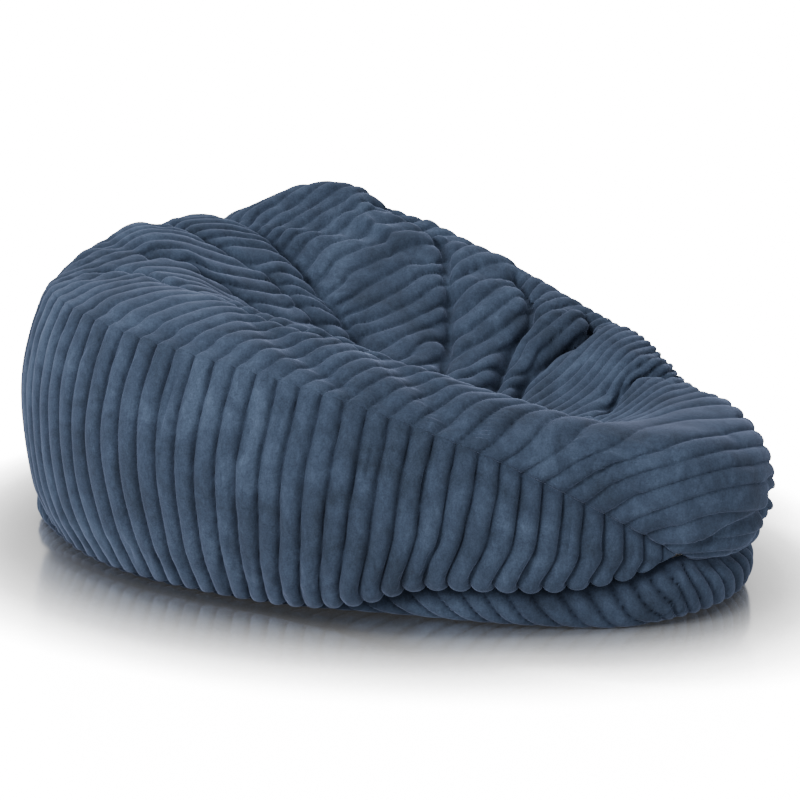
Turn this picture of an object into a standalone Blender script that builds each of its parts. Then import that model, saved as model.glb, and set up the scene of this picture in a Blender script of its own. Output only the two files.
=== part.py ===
"""Lounger bean bag chair: a cover of five sewn panels with a rear zip, a zipped inner liner and a bead fill.

Metres, +Z up, front at -Y. The origin is on the floor under the middle of the bag.
"Right" is the sitter's right, at -X. Every panel is a four-sided patch of a grid, and neighbouring patches
share their edge points, so the seams close. The inner layers are the same surface moved inwards.
"""

import math

import bpy
import numpy as np

# Seams of the cover, on the left side (+X), from the front tip to the rear corner. The right mirrors them.
TOP_SEAM = (
    (0.085, -0.493, 0.088),
    (0.125, -0.457, 0.122),
    (0.190, -0.387, 0.178),
    (0.260, -0.295, 0.237),
    (0.322, -0.186, 0.286),
    (0.368, -0.066, 0.322),
    (0.395, 0.049, 0.344),
    (0.404, 0.159, 0.358),
    (0.392, 0.269, 0.370),
    (0.352, 0.371, 0.376),
    (0.300, 0.447, 0.373),
    (0.245, 0.499, 0.354),
)
BOTTOM_SEAM = (
    (0.085, -0.493, 0.088),
    (0.125, -0.465, 0.074),
    (0.165, -0.426, 0.064),
    (0.215, -0.369, 0.058),
    (0.260, -0.306, 0.059),
    (0.302, -0.229, 0.056),
    (0.336, -0.141, 0.024),
    (0.368, -0.031, 0.008),
    (0.394, 0.099, 0.006),
    (0.400, 0.219, 0.007),
    (0.376, 0.339, 0.012),
    (0.322, 0.447, 0.034),
    (0.245, 0.529, 0.062),
)

# Line of the seat panel along the middle: place along it, y, z. It rolls over the nose, dips and climbs.
SEAT_MIDDLE = (
    (0.00, -0.527, 0.074),
    (0.05, -0.561, 0.104),
    (0.11, -0.571, 0.160),
    (0.17, -0.549, 0.212),
    (0.23, -0.499, 0.245),
    (0.30, -0.423, 0.240),
    (0.38, -0.326, 0.205),
    (0.50, -0.176, 0.180),
    (0.62, -0.016, 0.196),
    (0.74, 0.149, 0.246),
    (0.85, 0.309, 0.334),
    (0.93, 0.429, 0.404),
    (0.97, 0.489, 0.421),
    (1.00, 0.529, 0.398),
)
# Line of the base panel along the middle, from the nose seam down round the front roll and back to the zip.
BASE_MIDDLE = (
    (0.00, -0.527, 0.074),
    (0.03, -0.537, 0.048),
    (0.06, -0.529, 0.018),
    (0.10, -0.499, 0.000),
    (0.20, -0.401, 0.000),
    (0.50, -0.011, 0.000),
    (0.85, 0.449, 0.000),
    (0.93, 0.529, 0.006),
    (0.97, 0.547, 0.028),
    (1.00, 0.529, 0.062),
)

# How far the rim stands above the seat, along the panel, on each side. The left side has settled lower.
RIM_LEFT = (
    (0.0, 0.0),
    (0.10, 0.010),
    (0.20, 0.006),
    (0.30, 0.000),
    (0.375, 0.016),
    (0.45, 0.038),
    (0.60, 0.053),
    (0.75, 0.066),
    (0.90, 0.060),
    (0.96, 0.022),
    (1.0, 0.0),
)
RIM_RIGHT = (
    (0.0, 0.0),
    (0.10, 0.014),
    (0.20, 0.014),
    (0.30, 0.006),
    (0.45, 0.010),
    (0.60, 0.016),
    (0.75, 0.018),
    (0.90, 0.016),
    (0.96, 0.008),
    (1.0, 0.0),
)
LEFT_SETTLING = (
    (0.0, 0.0),
    (0.10, 0.0),
    (0.20, 0.0),
    (0.30, -0.010),
    (0.50, -0.034),
    (0.70, -0.010),
    (0.85, 0.0),
    (1.0, 0.0),
)
HOLLOW_SHAPE = (
    (0.0, 2.0),
    (0.15, 2.0),
    (0.28, 1.4),
    (0.36, 2.0),
    (0.45, 2.4),
    (0.70, 1.5),
    (0.90, 1.4),
    (1.0, 2.0),
)
# The right rim is a broad shelf: how much of it there is along the panel, and where its slope runs.
SHELF = ((0.0, 0.0), (0.12, 0.0), (0.30, 0.85), (0.45, 1.0), (0.75, 1.0), (0.90, 0.8), (1.0, 0.0))
SHELF_SLOPE = (0.16, 0.62)
SIDE_BULGE = ((0.0, 0.0), (0.10, 0.012), (0.30, 0.028), (0.55, 0.034), (0.80, 0.028), (1.0, 0.022))
SIDE_TUCK = (
    (0.0, 0.0),
    (0.10, 0.004),
    (0.30, 0.010),
    (0.45, 0.026),
    (0.60, 0.030),
    (0.80, 0.026),
    (1.0, 0.0),
)
TUCK_POWER = 8.0  # how soon above its bottom seam a side panel swings out over the tuck
NOSE_LENGTH = 0.36  # part of the panel's length over which its rows still wrap round the nose
RIM_POWERS = (1.36, 3.1)  # put the right rim's crest at three fifths of the way out, the left one's at four
BULGE_POWER = 1.36  # puts the widest line of a side panel at three fifths of its height
BACK_BULGE = 0.0395
BOW = 2.0  # power of the curve in which the rows bow from the seams to the middle line
BASE_REAR_BOW = (8.0, 0.82, 0.94)  # the base's last rows turn squarer, between these two places
BASE_FRONT_TURN = 0.10  # part of the base panel's length that curls up to the nose seam
BASE_REAR_TURN = 0.07  # part that curls up to the zip
BASE_POWERS = (2.0, 16.0)  # how late the base curls up towards its side seams, at its ends and in the middle
BASE_ROLL = 0.2  # how far the base rolls out past its seam, as a part of the seam's height
BASE_ROLL_POWER = 6.0

# How finely the grids are cut: rows from front to back, columns across, and levels up the sides and back.
ROWS = 22
COLUMNS = np.array((-1.0, -0.9, -0.78, -0.62, -0.42, -0.2, 0.0, 0.2, 0.42, 0.62, 0.78, 0.9, 1.0))
LEVELS = np.array((0.0, 0.07, 0.16, 0.27, 0.315, 0.55, 0.80, 1.0))
SLOT_LEVELS = (3, 4)
SLOT_COLUMNS = (2, 10)

# Layers, as depths below the outer surface of the cover.
COVER_THICKNESS = 0.004
LINER_DEPTH = 0.0055
LINER_THICKNESS = 0.0012
FILL_DEPTH = 0.0085
ZIP_ROOM = 0.022
SEAM_GAP = 0.0004
TIP_CUT = 0.16
FILL_ROOM = 0.011
MITRE_EASE = 0.08
LONGEST_MITRE = 1.5

# Zips. A zip runs along X. Its tapes leave upwards and downwards, and its slider has a plate on each face.
ZIP_LENGTH = 0.380
COVER_ZIP_Y = 0.523
COVER_ZIP_Z = 0.062
COVER_ZIP_GAP = 0.008
LINER_SLOT_Y = 0.517
LINER_SLOT_Z = (0.145, 0.159)
LINER_ZIP_Y = LINER_SLOT_Y - 0.0022
LINER_ZIP_Z = 0.152
TAPE_THICKNESS = 0.001
TAPE_HEIGHT = 0.0105
TAPE_EDGE = 0.0034
TAPE_OVERHANG = 0.010
TEETH_DEPTH = 0.0024
TEETH_INNER = 0.0008
TEETH_OUTER = 0.0030
SLIDER_LENGTH = 0.014
SLIDER_HEIGHT = 0.011
SLIDER_DEPTH = 0.0070
CHANNEL_TOP = 0.0037
CHANNEL_DEPTH = 0.0036
TAPE_SLOT = 0.0022
DIVIDER = 0.0009
STOP_LENGTH = 0.004
STOP_GAP = 0.0004
STOP_DEPTH = 0.0032
RUN_OUT = 0.001
ARCH_LENGTH = 0.0064
ARCH_WIDTH = 0.0026
ARCH_OPENING = (0.0040, 0.0018)
ARCH_RISE = 0.0030
ARCH_ROOT = 0.0003
PULL_LENGTH = 0.026
PULL_WIDTH = 0.0075
PULL_THICKNESS = 0.0012
PULL_WINDOW = (0.0052, 0.0038)
PIN_HEIGHT = 0.0009

# Care label, folded cloth sewn into the rear left seam.
LABEL_WIDTH = 0.028
LABEL_HEIGHT = 0.040
LABEL_THICKNESS = 0.001
LABEL_GAP = 0.0035
LABEL_LEVEL = 0.42

# Colour, roughness and metallic value of each material.
FINISHES = {
    "navy_cord_plush": ((0.044, 0.070, 0.110), 0.95, 0.0),
    "zip_tape_cloth": ((0.020, 0.030, 0.050), 0.85, 0.0),
    "zip_teeth_nylon": ((0.030, 0.042, 0.066), 0.45, 0.0),
    "zip_metal": ((0.52, 0.52, 0.54), 0.35, 1.0),
    "label_cloth": ((0.80, 0.80, 0.78), 0.80, 0.0),
    "liner_cloth": ((0.78, 0.78, 0.76), 0.90, 0.0),
    "polystyrene_beads": ((0.90, 0.90, 0.90), 0.70, 0.0),
}


def clear_scene():
    for obj in list(bpy.data.objects):
        bpy.data.objects.remove(obj, do_unlink=True)


def make_materials():
    made = {}
    for name, (colour, roughness, metallic) in FINISHES.items():
        material = bpy.data.materials.new(name)
        material.use_nodes = True
        shader = material.node_tree.nodes["Principled BSDF"]
        shader.inputs["Base Color"].default_value = (*colour, 1.0)
        shader.inputs["Roughness"].default_value = roughness
        shader.inputs["Metallic"].default_value = metallic
        made[name] = material
    return made


def add_mesh(name, points, faces, material):
    mesh = bpy.data.meshes.new(name)
    mesh.from_pydata([tuple(map(float, p)) for p in points], [], [tuple(map(int, f)) for f in faces])
    mesh.materials.append(material)
    mesh.validate()
    obj = bpy.data.objects.new(name, mesh)
    bpy.context.scene.collection.objects.link(obj)
    return obj


# Curves


def smooth_through(knots, values, at):
    """The smooth curve that passes through values[i] at knots[i], read at each number in at."""
    knots = np.asarray(knots, float)
    values = np.asarray(values, float)
    slopes = np.gradient(values, knots, axis=0)
    cell = np.clip(np.searchsorted(knots, at, side="right") - 1, 0, len(knots) - 2)
    width = knots[cell + 1] - knots[cell]
    f = (at - knots[cell]) / width
    if values.ndim > 1:
        f = f[..., None]
        width = width[..., None]
    start = (2 * f**3 - 3 * f**2 + 1) * values[cell] + (f**3 - 2 * f**2 + f) * width * slopes[cell]
    end = (3 * f**2 - 2 * f**3) * values[cell + 1] + (f**3 - f**2) * width * slopes[cell + 1]
    return start + end


def along(points, fractions):
    """Points of the smooth curve through these points, at fractions of its length."""
    points = np.asarray(points, float)
    chord = np.r_[0.0, np.cumsum(np.linalg.norm(np.diff(points, axis=0), axis=1))]
    fine = smooth_through(chord, points, np.linspace(0.0, chord[-1], 600))
    length = np.r_[0.0, np.cumsum(np.linalg.norm(np.diff(fine, axis=0), axis=1))]
    at = np.asarray(fractions) * length[-1]
    return np.stack([np.interp(at, length, fine[:, axis]) for axis in range(3)], axis=-1)


def table(pairs, at):
    knots, values = zip(*pairs)
    return smooth_through(knots, values, at)


def smooth_step(low, high, at):
    f = np.clip((at - low) / (high - low), 0.0, 1.0)
    return f * f * (3.0 - 2.0 * f)


# The five panels, each as a grid of points


def wrap(s, t, edge, middle, power):
    """x and y of rows that bow from the edges to the middle line, and wrap round the nose at the front."""
    round_part = np.clip(1.0 - s / NOSE_LENGTH, 0.0, 1.0) ** 2
    wide = np.abs(t)
    across = (1.0 - round_part) * t + round_part * np.sin(0.5 * math.pi * t)
    bow = (1.0 - round_part) * (1.0 - wide**power) + round_part * np.cos(0.5 * math.pi * wide)
    return edge[..., 0] * across, edge[..., 1] + (middle[..., 0] - edge[..., 1]) * bow


def seat_surface(s, t):
    """Seat panel: s runs from the nose seam to the head seam, t from the right seam to the left."""
    edge = along(TOP_SEAM, s[:, 0])[:, None, :]
    middle = smooth_through([p[0] for p in SEAT_MIDDLE], [p[1:] for p in SEAT_MIDDLE], s)
    x, y = wrap(s, t, edge, middle, BOW)
    wide = np.abs(t)
    rise = wide ** table(HOLLOW_SHAPE, s)
    shelf = np.where(t < 0.0, np.clip(table(SHELF, s), 0.0, 1.0), 0.0)
    rise = rise + shelf * (smooth_step(*SHELF_SLOPE, wide) - rise)
    right_rim = table(RIM_RIGHT, s) * np.sin(math.pi * wide ** RIM_POWERS[0])
    left_rim = table(RIM_LEFT, s) * np.sin(math.pi * wide ** RIM_POWERS[1])
    rim = np.where(t < 0.0, right_rim, left_rim)
    edge_z = edge[..., 2] + np.where(t < 0.0, 0.0, table(LEFT_SETTLING, s))
    z = middle[..., 1] + (edge_z - middle[..., 1]) * rise + rim
    return np.stack([x, y, z], axis=-1)


def base_surface(s, t):
    """Base panel: s runs from the nose seam under the bag to the zip, t from the right seam to the left."""
    edge = along(BOTTOM_SEAM, s[:, 0])[:, None, :]
    middle = smooth_through([p[0] for p in BASE_MIDDLE], [p[1:] for p in BASE_MIDDLE], s)
    square, start, end = BASE_REAR_BOW
    x, y = wrap(s, t, edge, middle, BOW + (square - BOW) * np.clip((s - start) / (end - start), 0.0, 1.0))
    wide = np.abs(t)
    flat = np.minimum(s / BASE_FRONT_TURN, 1.0) * np.minimum((1.0 - s) / BASE_REAR_TURN, 1.0)
    power = BASE_POWERS[0] + (BASE_POWERS[1] - BASE_POWERS[0]) * flat
    x = x + np.sign(t) * BASE_ROLL * flat * edge[..., 2] * np.sin(math.pi * wide**BASE_ROLL_POWER)
    middle_z = np.maximum(0.0, middle[..., 1])
    z = middle_z + (edge[..., 2] - middle_z) * wide**power
    return np.stack([x, y, z], axis=-1)


def side_surface(s, h, settling=((0.0, 0.0), (1.0, 0.0))):
    """Side panel at +X: s runs along its seams from the front tip, h from the bottom seam to the top one."""
    low = along(BOTTOM_SEAM, s[:, 0])[:, None, :]
    high = along(TOP_SEAM, s[:, 0])[:, None, :]
    high[..., 2] += table(settling, s[:, :1])
    line = 0.5 * (low + high)[:, 0, :2]
    step = np.gradient(line, axis=0)
    outward = np.stack([step[:, 1], -step[:, 0]], axis=-1)
    outward = outward / np.linalg.norm(outward, axis=1, keepdims=True)
    bulge = table(SIDE_BULGE, s) * np.sin(math.pi * h**BULGE_POWER)
    bulge = bulge + table(SIDE_TUCK, s) * (1.0 - h) * (1.0 - (1.0 - h) ** TUCK_POWER)
    points = low + (high - low) * h[..., None]
    points[..., :2] += outward[:, None, :] * bulge[..., None]
    return points


def back_surface(h, t, left_edge):
    """Back panel: h runs up from the zip to the head seam, t from the right seam to the left."""
    top = SEAT_MIDDLE[-1]
    wide = t**2
    reach = BACK_BULGE * np.sin(math.pi * h) + (top[1] - TOP_SEAM[-1][1]) * h**3
    lift = (top[2] - TOP_SEAM[-1][2]) * h**3
    x = left_edge[:, None, 0] * t
    y = left_edge[:, None, 1] + reach * (1.0 - wide)
    z = left_edge[:, None, 2] + lift * (1.0 - wide)
    return np.stack([x, y, z], axis=-1)


def mirrored(grid):
    return grid * np.array((-1.0, 1.0, 1.0))


def make_patches():
    along_rows = np.linspace(0.0, 1.0, ROWS + 1)
    s, t = np.meshgrid(along_rows, COLUMNS, indexing="ij")
    seat = seat_surface(s, t)
    base = base_surface(s, t)
    s, h = np.meshgrid(along_rows, LEVELS, indexing="ij")
    left = side_surface(s, h, LEFT_SETTLING)
    right = mirrored(side_surface(s, h))
    h, t = np.meshgrid(LEVELS, COLUMNS, indexing="ij")
    back = back_surface(h, t, left[-1])
    return {"seat": seat, "base": base, "left": left, "right": right, "back": back}


# From patches to solids


def split_cells(grid, centre):
    """Triangles of a patch, as places in its flattened grid, facing away from the centre of the bag."""
    index = np.arange(grid.shape[0] * grid.shape[1]).reshape(grid.shape[:2])
    a, b, c, d = index[:-1, :-1], index[1:, :-1], index[1:, 1:], index[:-1, 1:]
    points = grid.reshape(-1, 3)
    first = np.linalg.norm(points[a] - points[c], axis=-1) <= np.linalg.norm(points[b] - points[d], axis=-1)
    one = np.where(first[..., None], np.stack([a, b, c], axis=-1), np.stack([a, b, d], axis=-1))
    two = np.where(first[..., None], np.stack([a, c, d], axis=-1), np.stack([b, c, d], axis=-1))
    faces = np.concatenate([one.reshape(-1, 3), two.reshape(-1, 3)])
    corners = points[faces]
    normal = np.cross(corners[:, 1] - corners[:, 0], corners[:, 2] - corners[:, 0])
    if np.einsum("ij,ij->i", normal, corners.mean(axis=1) - centre).sum() < 0.0:
        faces = faces[:, ::-1]
    return faces


def weld(patches):
    """One closed surface: its points, each patch's points as places in them, and each patch's triangles."""
    stacked = np.concatenate([grid.reshape(-1, 3) for grid in patches.values()])
    _, first, inverse = np.unique(np.round(stacked, 6), axis=0, return_index=True, return_inverse=True)
    points = stacked[first]
    inverse = inverse.reshape(-1)
    centre = points.mean(axis=0)
    index = {}
    cells = {}
    start = 0
    for name, grid in patches.items():
        count = grid.shape[0] * grid.shape[1]
        index[name] = inverse[start : start + count].reshape(grid.shape[:2])
        cells[name] = split_cells(grid, centre)
        start += count
    return points, index, cells


def welded_faces(index, cells):
    """The triangles of every patch in one list, without those that the pointed ends of the sides collapse."""
    faces = np.concatenate([index[name].reshape(-1)[cells[name]] for name in cells])
    whole = (faces[:, 0] != faces[:, 1]) & (faces[:, 1] != faces[:, 2]) & (faces[:, 2] != faces[:, 0])
    return faces[whole]


def inward_steps(points, faces):
    """For each point, the move inwards that shifts every face around it by one unit."""
    corners = points[faces]
    normals = np.cross(corners[:, 1] - corners[:, 0], corners[:, 2] - corners[:, 0])
    normals = normals / np.linalg.norm(normals, axis=1, keepdims=True)
    around = [[] for _ in points]
    for face, normal in zip(faces, normals):
        for corner in face:
            around[corner].append(normal)
    steps = np.empty_like(points)
    for corner, found in enumerate(around):
        stack = np.array(found)
        mean = stack.mean(axis=0)
        mean = mean / np.linalg.norm(mean)
        system = stack.T @ stack + MITRE_EASE * np.eye(3)
        step = np.linalg.solve(system, stack.sum(axis=0) + MITRE_EASE * mean)
        steps[corner] = -step * min(1.0, LONGEST_MITRE / np.linalg.norm(step))
    return steps


def add_shell(name, outer, inner, faces, material):
    """A closed sheet between two copies of one open or slotted surface, walled along every open edge."""
    count = len(outer)
    directed = {(int(f[i - 1]), int(f[i])) for f in faces for i in range(3)}
    open_edges = sorted(edge for edge in directed if edge[::-1] not in directed)
    walls = [(b, a, a + count, b + count) for a, b in open_edges]
    under = [tuple(corner + count for corner in reversed(f)) for f in faces.tolist()]
    return add_mesh(name, np.concatenate([outer, inner]), faces.tolist() + under + walls, material)


def edge_shift(grid, distance, edge):
    """How far each point of one edge of a grid moves, in its surface, to leave a gap at the seam."""
    across = grid.swapaxes(0, 1)
    turned = {"first": grid, "last": grid[::-1], "near": across, "far": across[::-1]}
    rows = turned[edge]
    tangent = np.gradient(rows[0], axis=0)
    tangent = tangent / np.linalg.norm(tangent, axis=1, keepdims=True)
    inner = rows[1] - rows[0]
    inner = inner - tangent * np.einsum("ij,ij->i", inner, tangent)[:, None]
    return distance * inner / np.linalg.norm(inner, axis=1, keepdims=True)


def seam_moves(grid, gaps):
    """The moves that draw a panel's four edges in, by the gap given for each edge."""
    moves = np.zeros_like(grid)
    moves[0] += edge_shift(grid, gaps.get("first", SEAM_GAP), "first")
    moves[-1] += edge_shift(grid, gaps.get("last", SEAM_GAP), "last")
    moves[:, 0] += edge_shift(grid, gaps.get("near", SEAM_GAP), "near")
    moves[:, -1] += edge_shift(grid, gaps.get("far", SEAM_GAP), "far")
    return moves


def add_cover(patches, steps, index, cells, cloth):
    """The five panels of the cover. The base and back panels stop short of each other, for the zip."""
    panels = (
        ("seat_panel", "seat", {}),
        ("side_panel_left", "left", {}),
        ("side_panel_right", "right", {}),
        ("back_panel", "back", {"first": COVER_ZIP_GAP}),
        ("base_panel", "base", {"last": COVER_ZIP_GAP}),
    )
    for name, key, gaps in panels:
        outer = patches[key].copy()
        inner = outer + steps[index[key]] * COVER_THICKNESS
        if key in ("left", "right"):
            outer[0] += (outer[1] - outer[0]) * TIP_CUT
            inner[0] += (inner[1] - inner[0]) * TIP_CUT
        moves = seam_moves(outer, gaps)
        add_shell(name, (outer + moves).reshape(-1, 3), (inner + moves).reshape(-1, 3), cells[key], cloth)


def layer(points, steps, index, depth, slot_y):
    """The closed surface at this depth, drawn in behind the cover's zip and flat round the liner's zip."""
    depths = np.full(len(points), depth)
    depths[index["back"][0]] = depth + ZIP_ROOM - LINER_DEPTH
    moved = points + steps * depths[:, None]
    first, last = SLOT_COLUMNS
    for level, height in zip(SLOT_LEVELS, LINER_SLOT_Z):
        ids = index["back"][level, first : last + 1]
        moved[ids, 1] = slot_y
        moved[ids, 2] = height
    return moved


def add_liner(points, steps, index, cells, cloth):
    """One thin bag of liner cloth, with a slot at the back that its zip closes."""
    outer = layer(points, steps, index, LINER_DEPTH, LINER_SLOT_Y)
    inner = layer(points, steps, index, LINER_DEPTH + LINER_THICKNESS, LINER_SLOT_Y - LINER_THICKNESS)
    low, high = SLOT_LEVELS
    first, last = SLOT_COLUMNS
    slot = index["back"][low : high + 1, first : last + 1].reshape(-1)
    faces = welded_faces(index, cells)
    faces = faces[~np.isin(faces, slot).all(axis=1)]
    add_shell("inner_liner", outer, inner, faces, cloth)


def add_fill(points, steps, index, cells, beads):
    body = layer(points, steps, index, FILL_DEPTH, LINER_SLOT_Y - FILL_ROOM)
    add_mesh("bead_fill", body, welded_faces(index, cells).tolist(), beads)


# Zips


def add_box(name, low, high, material):
    corners = [(x, y, z) for x in (low[0], high[0]) for y in (low[1], high[1]) for z in (low[2], high[2])]
    faces = [(0, 1, 3, 2), (4, 6, 7, 5), (0, 4, 5, 1), (2, 3, 7, 6), (0, 2, 6, 4), (1, 5, 7, 3)]
    return add_mesh(name, corners, faces, material)


def add_extrusion(name, outline, axis, length, material):
    """A solid whose section is outline, extruded evenly both ways along one axis (0 for X, 2 for Z)."""
    points = []
    for end in (-length / 2, length / 2):
        for a, b in outline:
            points.append((end, a, b) if axis == 0 else (a, b, end))
    count = len(outline)
    sides = [(i, (i + 1) % count, (i + 1) % count + count, i + count) for i in range(count)]
    ends = [tuple(range(count))[::-1], tuple(range(count, 2 * count))]
    return add_mesh(name, points, ends + sides, material)


def slider_outline():
    """Section of a slider, y and z: two plates and a divider, with lips that leave slots for the tapes."""
    quarter = (
        (SLIDER_DEPTH / 2, SLIDER_HEIGHT / 2),
        (TAPE_SLOT / 2, SLIDER_HEIGHT / 2),
        (TAPE_SLOT / 2, CHANNEL_TOP),
        (CHANNEL_DEPTH / 2, CHANNEL_TOP),
        (CHANNEL_DEPTH / 2, DIVIDER / 2),
    )
    back = [(-y, z) for y, z in reversed(quarter)]
    top = list(quarter) + back
    return top + [(-y, -z) for y, z in top]


def arch_outline():
    """Section of the bridge on a slider's outer face, x and y, which the pull's pin passes through."""
    face = SLIDER_DEPTH / 2
    half = ARCH_LENGTH / 2
    inside = ARCH_OPENING[0] / 2
    top = face + ARCH_OPENING[1]
    return (
        (half, face - ARCH_ROOT),
        (half, face + ARCH_RISE),
        (-half, face + ARCH_RISE),
        (-half, face - ARCH_ROOT),
        (-inside, face - ARCH_ROOT),
        (-inside, top),
        (inside, top),
        (inside, face - ARCH_ROOT),
    )


def add_slider(name, place, metal):
    slider = add_extrusion(name, slider_outline(), 0, SLIDER_LENGTH, metal)
    slider.location = place
    return slider


def add_arch(slider, metal):
    """Joins the bridge to the slider. The bridge's own block stays as a hidden guide."""
    arch = add_extrusion(slider.name + "_arch", arch_outline(), 2, ARCH_WIDTH, metal)
    arch.parent = slider
    arch.hide_render = True
    arch.display_type = "WIRE"
    joined = slider.modifiers.new("arch", "BOOLEAN")
    joined.operation = "UNION"
    joined.object = arch


def add_pull(name, slider, metal):
    """Flat pull with a window that fits over the arch. Its pin is its origin, and it lies along +X."""
    window_x = (PULL_THICKNESS / 2, PULL_THICKNESS / 2 + PULL_WINDOW[0])
    outer = [(x, z) for x, z in rectangle(-PULL_THICKNESS / 2, PULL_LENGTH, PULL_WIDTH)]
    inner = [(x, z) for x, z in rectangle(window_x[0], window_x[1], PULL_WINDOW[1])]
    points = []
    for y in (-PULL_THICKNESS / 2, PULL_THICKNESS / 2):
        points += [(x, y, z) for x, z in outer + inner]
    sides = len(outer)
    near_window = sides
    far = 2 * sides
    far_window = 3 * sides
    faces = []
    for i in range(sides):
        j = (i + 1) % sides
        faces.append((i, j, near_window + j, near_window + i))
        faces.append((far_window + i, far_window + j, far + j, far + i))
        faces.append((far + i, far + j, j, i))
        faces.append((near_window + i, near_window + j, far_window + j, far_window + i))
    pull = add_mesh(name, points, faces, metal)
    pull.parent = slider
    pull.location = (0.0, SLIDER_DEPTH / 2 + PIN_HEIGHT, 0.0)
    return pull


def rectangle(start, end, width):
    return ((start, -width / 2), (end, -width / 2), (end, width / 2), (start, width / 2))


def add_zip(prefix, y, z, materials, with_pull):
    """Tapes, teeth, end stops and slider of a zip, closed, with the slider at its +X end."""
    half = ZIP_LENGTH / 2
    reach = half + TAPE_OVERHANG
    depth = TAPE_THICKNESS / 2
    for side, sign in (("upper", 1.0), ("lower", -1.0)):
        tape_z = sorted((z + sign * TAPE_EDGE, z + sign * (TAPE_EDGE + TAPE_HEIGHT)))
        add_box(
            f"{prefix}_tape_{side}",
            (-reach, y - depth, tape_z[0]),
            (reach, y + depth, tape_z[1]),
            materials["zip_tape_cloth"],
        )
        teeth_z = sorted((z + sign * TEETH_INNER, z + sign * TEETH_OUTER))
        add_box(
            f"{prefix}_teeth_{side}",
            (-half, y - TEETH_DEPTH / 2, teeth_z[0]),
            (half, y + TEETH_DEPTH / 2, teeth_z[1]),
            materials["zip_teeth_nylon"],
        )
    for side, sign in (("left", 1.0), ("right", -1.0)):
        stop_x = sorted((sign * (half + STOP_GAP), sign * (half + STOP_GAP + STOP_LENGTH)))
        add_box(
            f"{prefix}_stop_{side}",
            (stop_x[0], y - STOP_DEPTH / 2, z - TEETH_OUTER),
            (stop_x[1], y + STOP_DEPTH / 2, z + TEETH_OUTER),
            materials["zip_metal"],
        )
    place = (half - RUN_OUT - SLIDER_LENGTH / 2, y, z)
    slider = add_slider(f"{prefix}_slider", place, materials["zip_metal"])
    if with_pull:
        add_arch(slider, materials["zip_metal"])
        add_pull(f"{prefix}_pull", slider, materials["zip_metal"])


def add_label(patches, cloth):
    """A folded cloth label that stands out from the seam between the left side panel and the back panel."""
    edge = patches["left"][-1]
    foot = np.array([np.interp(LABEL_LEVEL, LEVELS, edge[:, axis]) for axis in range(3)])
    outward = np.array((math.sqrt(0.5), math.sqrt(0.5)))
    across = np.array((outward[1], -outward[0]))
    start = foot[:2] + outward * LABEL_GAP
    end = start + outward * LABEL_WIDTH
    half = across * LABEL_THICKNESS / 2
    outline = [start + half, end + half, end - half, start - half]
    points = []
    for z in (foot[2] - LABEL_HEIGHT / 2, foot[2] + LABEL_HEIGHT / 2):
        points += [(*corner, z) for corner in outline]
    faces = [(3, 2, 1, 0), (4, 5, 6, 7)] + [(i, (i + 1) % 4, (i + 1) % 4 + 4, i + 4) for i in range(4)]
    add_mesh("care_label", points, faces, cloth)


def main():
    clear_scene()
    materials = make_materials()
    patches = make_patches()
    points, index, cells = weld(patches)
    steps = inward_steps(points, welded_faces(index, cells))
    add_cover(patches, steps, index, cells, materials["navy_cord_plush"])
    add_zip("cover_zip", COVER_ZIP_Y, COVER_ZIP_Z, materials, with_pull=True)
    add_label(patches, materials["label_cloth"])
    add_liner(points, steps, index, cells, materials["liner_cloth"])
    add_zip("liner_zip", LINER_ZIP_Y, LINER_ZIP_Z, materials, with_pull=False)
    add_fill(points, steps, index, cells, materials["polystyrene_beads"])


main()
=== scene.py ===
"""A lounger bean bag chair in wide-rib cord plush: cover, zips, label, liner and beads."""

import math

import bpy
import numpy as np
from mathutils import Matrix, Vector


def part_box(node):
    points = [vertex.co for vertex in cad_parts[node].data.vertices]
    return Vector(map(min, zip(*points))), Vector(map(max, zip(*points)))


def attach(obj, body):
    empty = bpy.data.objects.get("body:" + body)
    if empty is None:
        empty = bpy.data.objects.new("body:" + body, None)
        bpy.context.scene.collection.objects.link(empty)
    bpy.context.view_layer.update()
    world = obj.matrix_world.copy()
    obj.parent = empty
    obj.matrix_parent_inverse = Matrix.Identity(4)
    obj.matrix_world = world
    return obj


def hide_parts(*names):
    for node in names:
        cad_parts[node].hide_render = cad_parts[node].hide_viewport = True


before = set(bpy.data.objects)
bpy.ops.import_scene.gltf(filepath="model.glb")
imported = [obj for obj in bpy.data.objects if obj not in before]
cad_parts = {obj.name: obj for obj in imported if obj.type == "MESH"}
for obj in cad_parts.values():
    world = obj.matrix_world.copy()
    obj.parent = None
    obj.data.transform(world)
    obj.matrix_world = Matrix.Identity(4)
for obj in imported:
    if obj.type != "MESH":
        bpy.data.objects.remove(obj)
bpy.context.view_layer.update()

# Seams of the cover, on the left side (+X), from the front tip to the rear corner. The right mirrors them.
TOP_SEAM = (
    (0.085, -0.493, 0.088), (0.125, -0.457, 0.122), (0.190, -0.387, 0.178), (0.260, -0.295, 0.237),
    (0.322, -0.186, 0.286), (0.368, -0.066, 0.322), (0.395, 0.049, 0.344), (0.404, 0.159, 0.358),
    (0.392, 0.269, 0.370), (0.352, 0.371, 0.376), (0.300, 0.447, 0.373), (0.245, 0.499, 0.354),
)
BOTTOM_SEAM = (
    (0.085, -0.493, 0.088), (0.125, -0.465, 0.074), (0.165, -0.426, 0.064), (0.215, -0.369, 0.058),
    (0.260, -0.306, 0.059), (0.302, -0.229, 0.056), (0.336, -0.141, 0.024), (0.368, -0.031, 0.008),
    (0.394, 0.099, 0.006), (0.400, 0.219, 0.007), (0.376, 0.339, 0.012), (0.322, 0.447, 0.034),
    (0.245, 0.529, 0.062),
)

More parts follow.
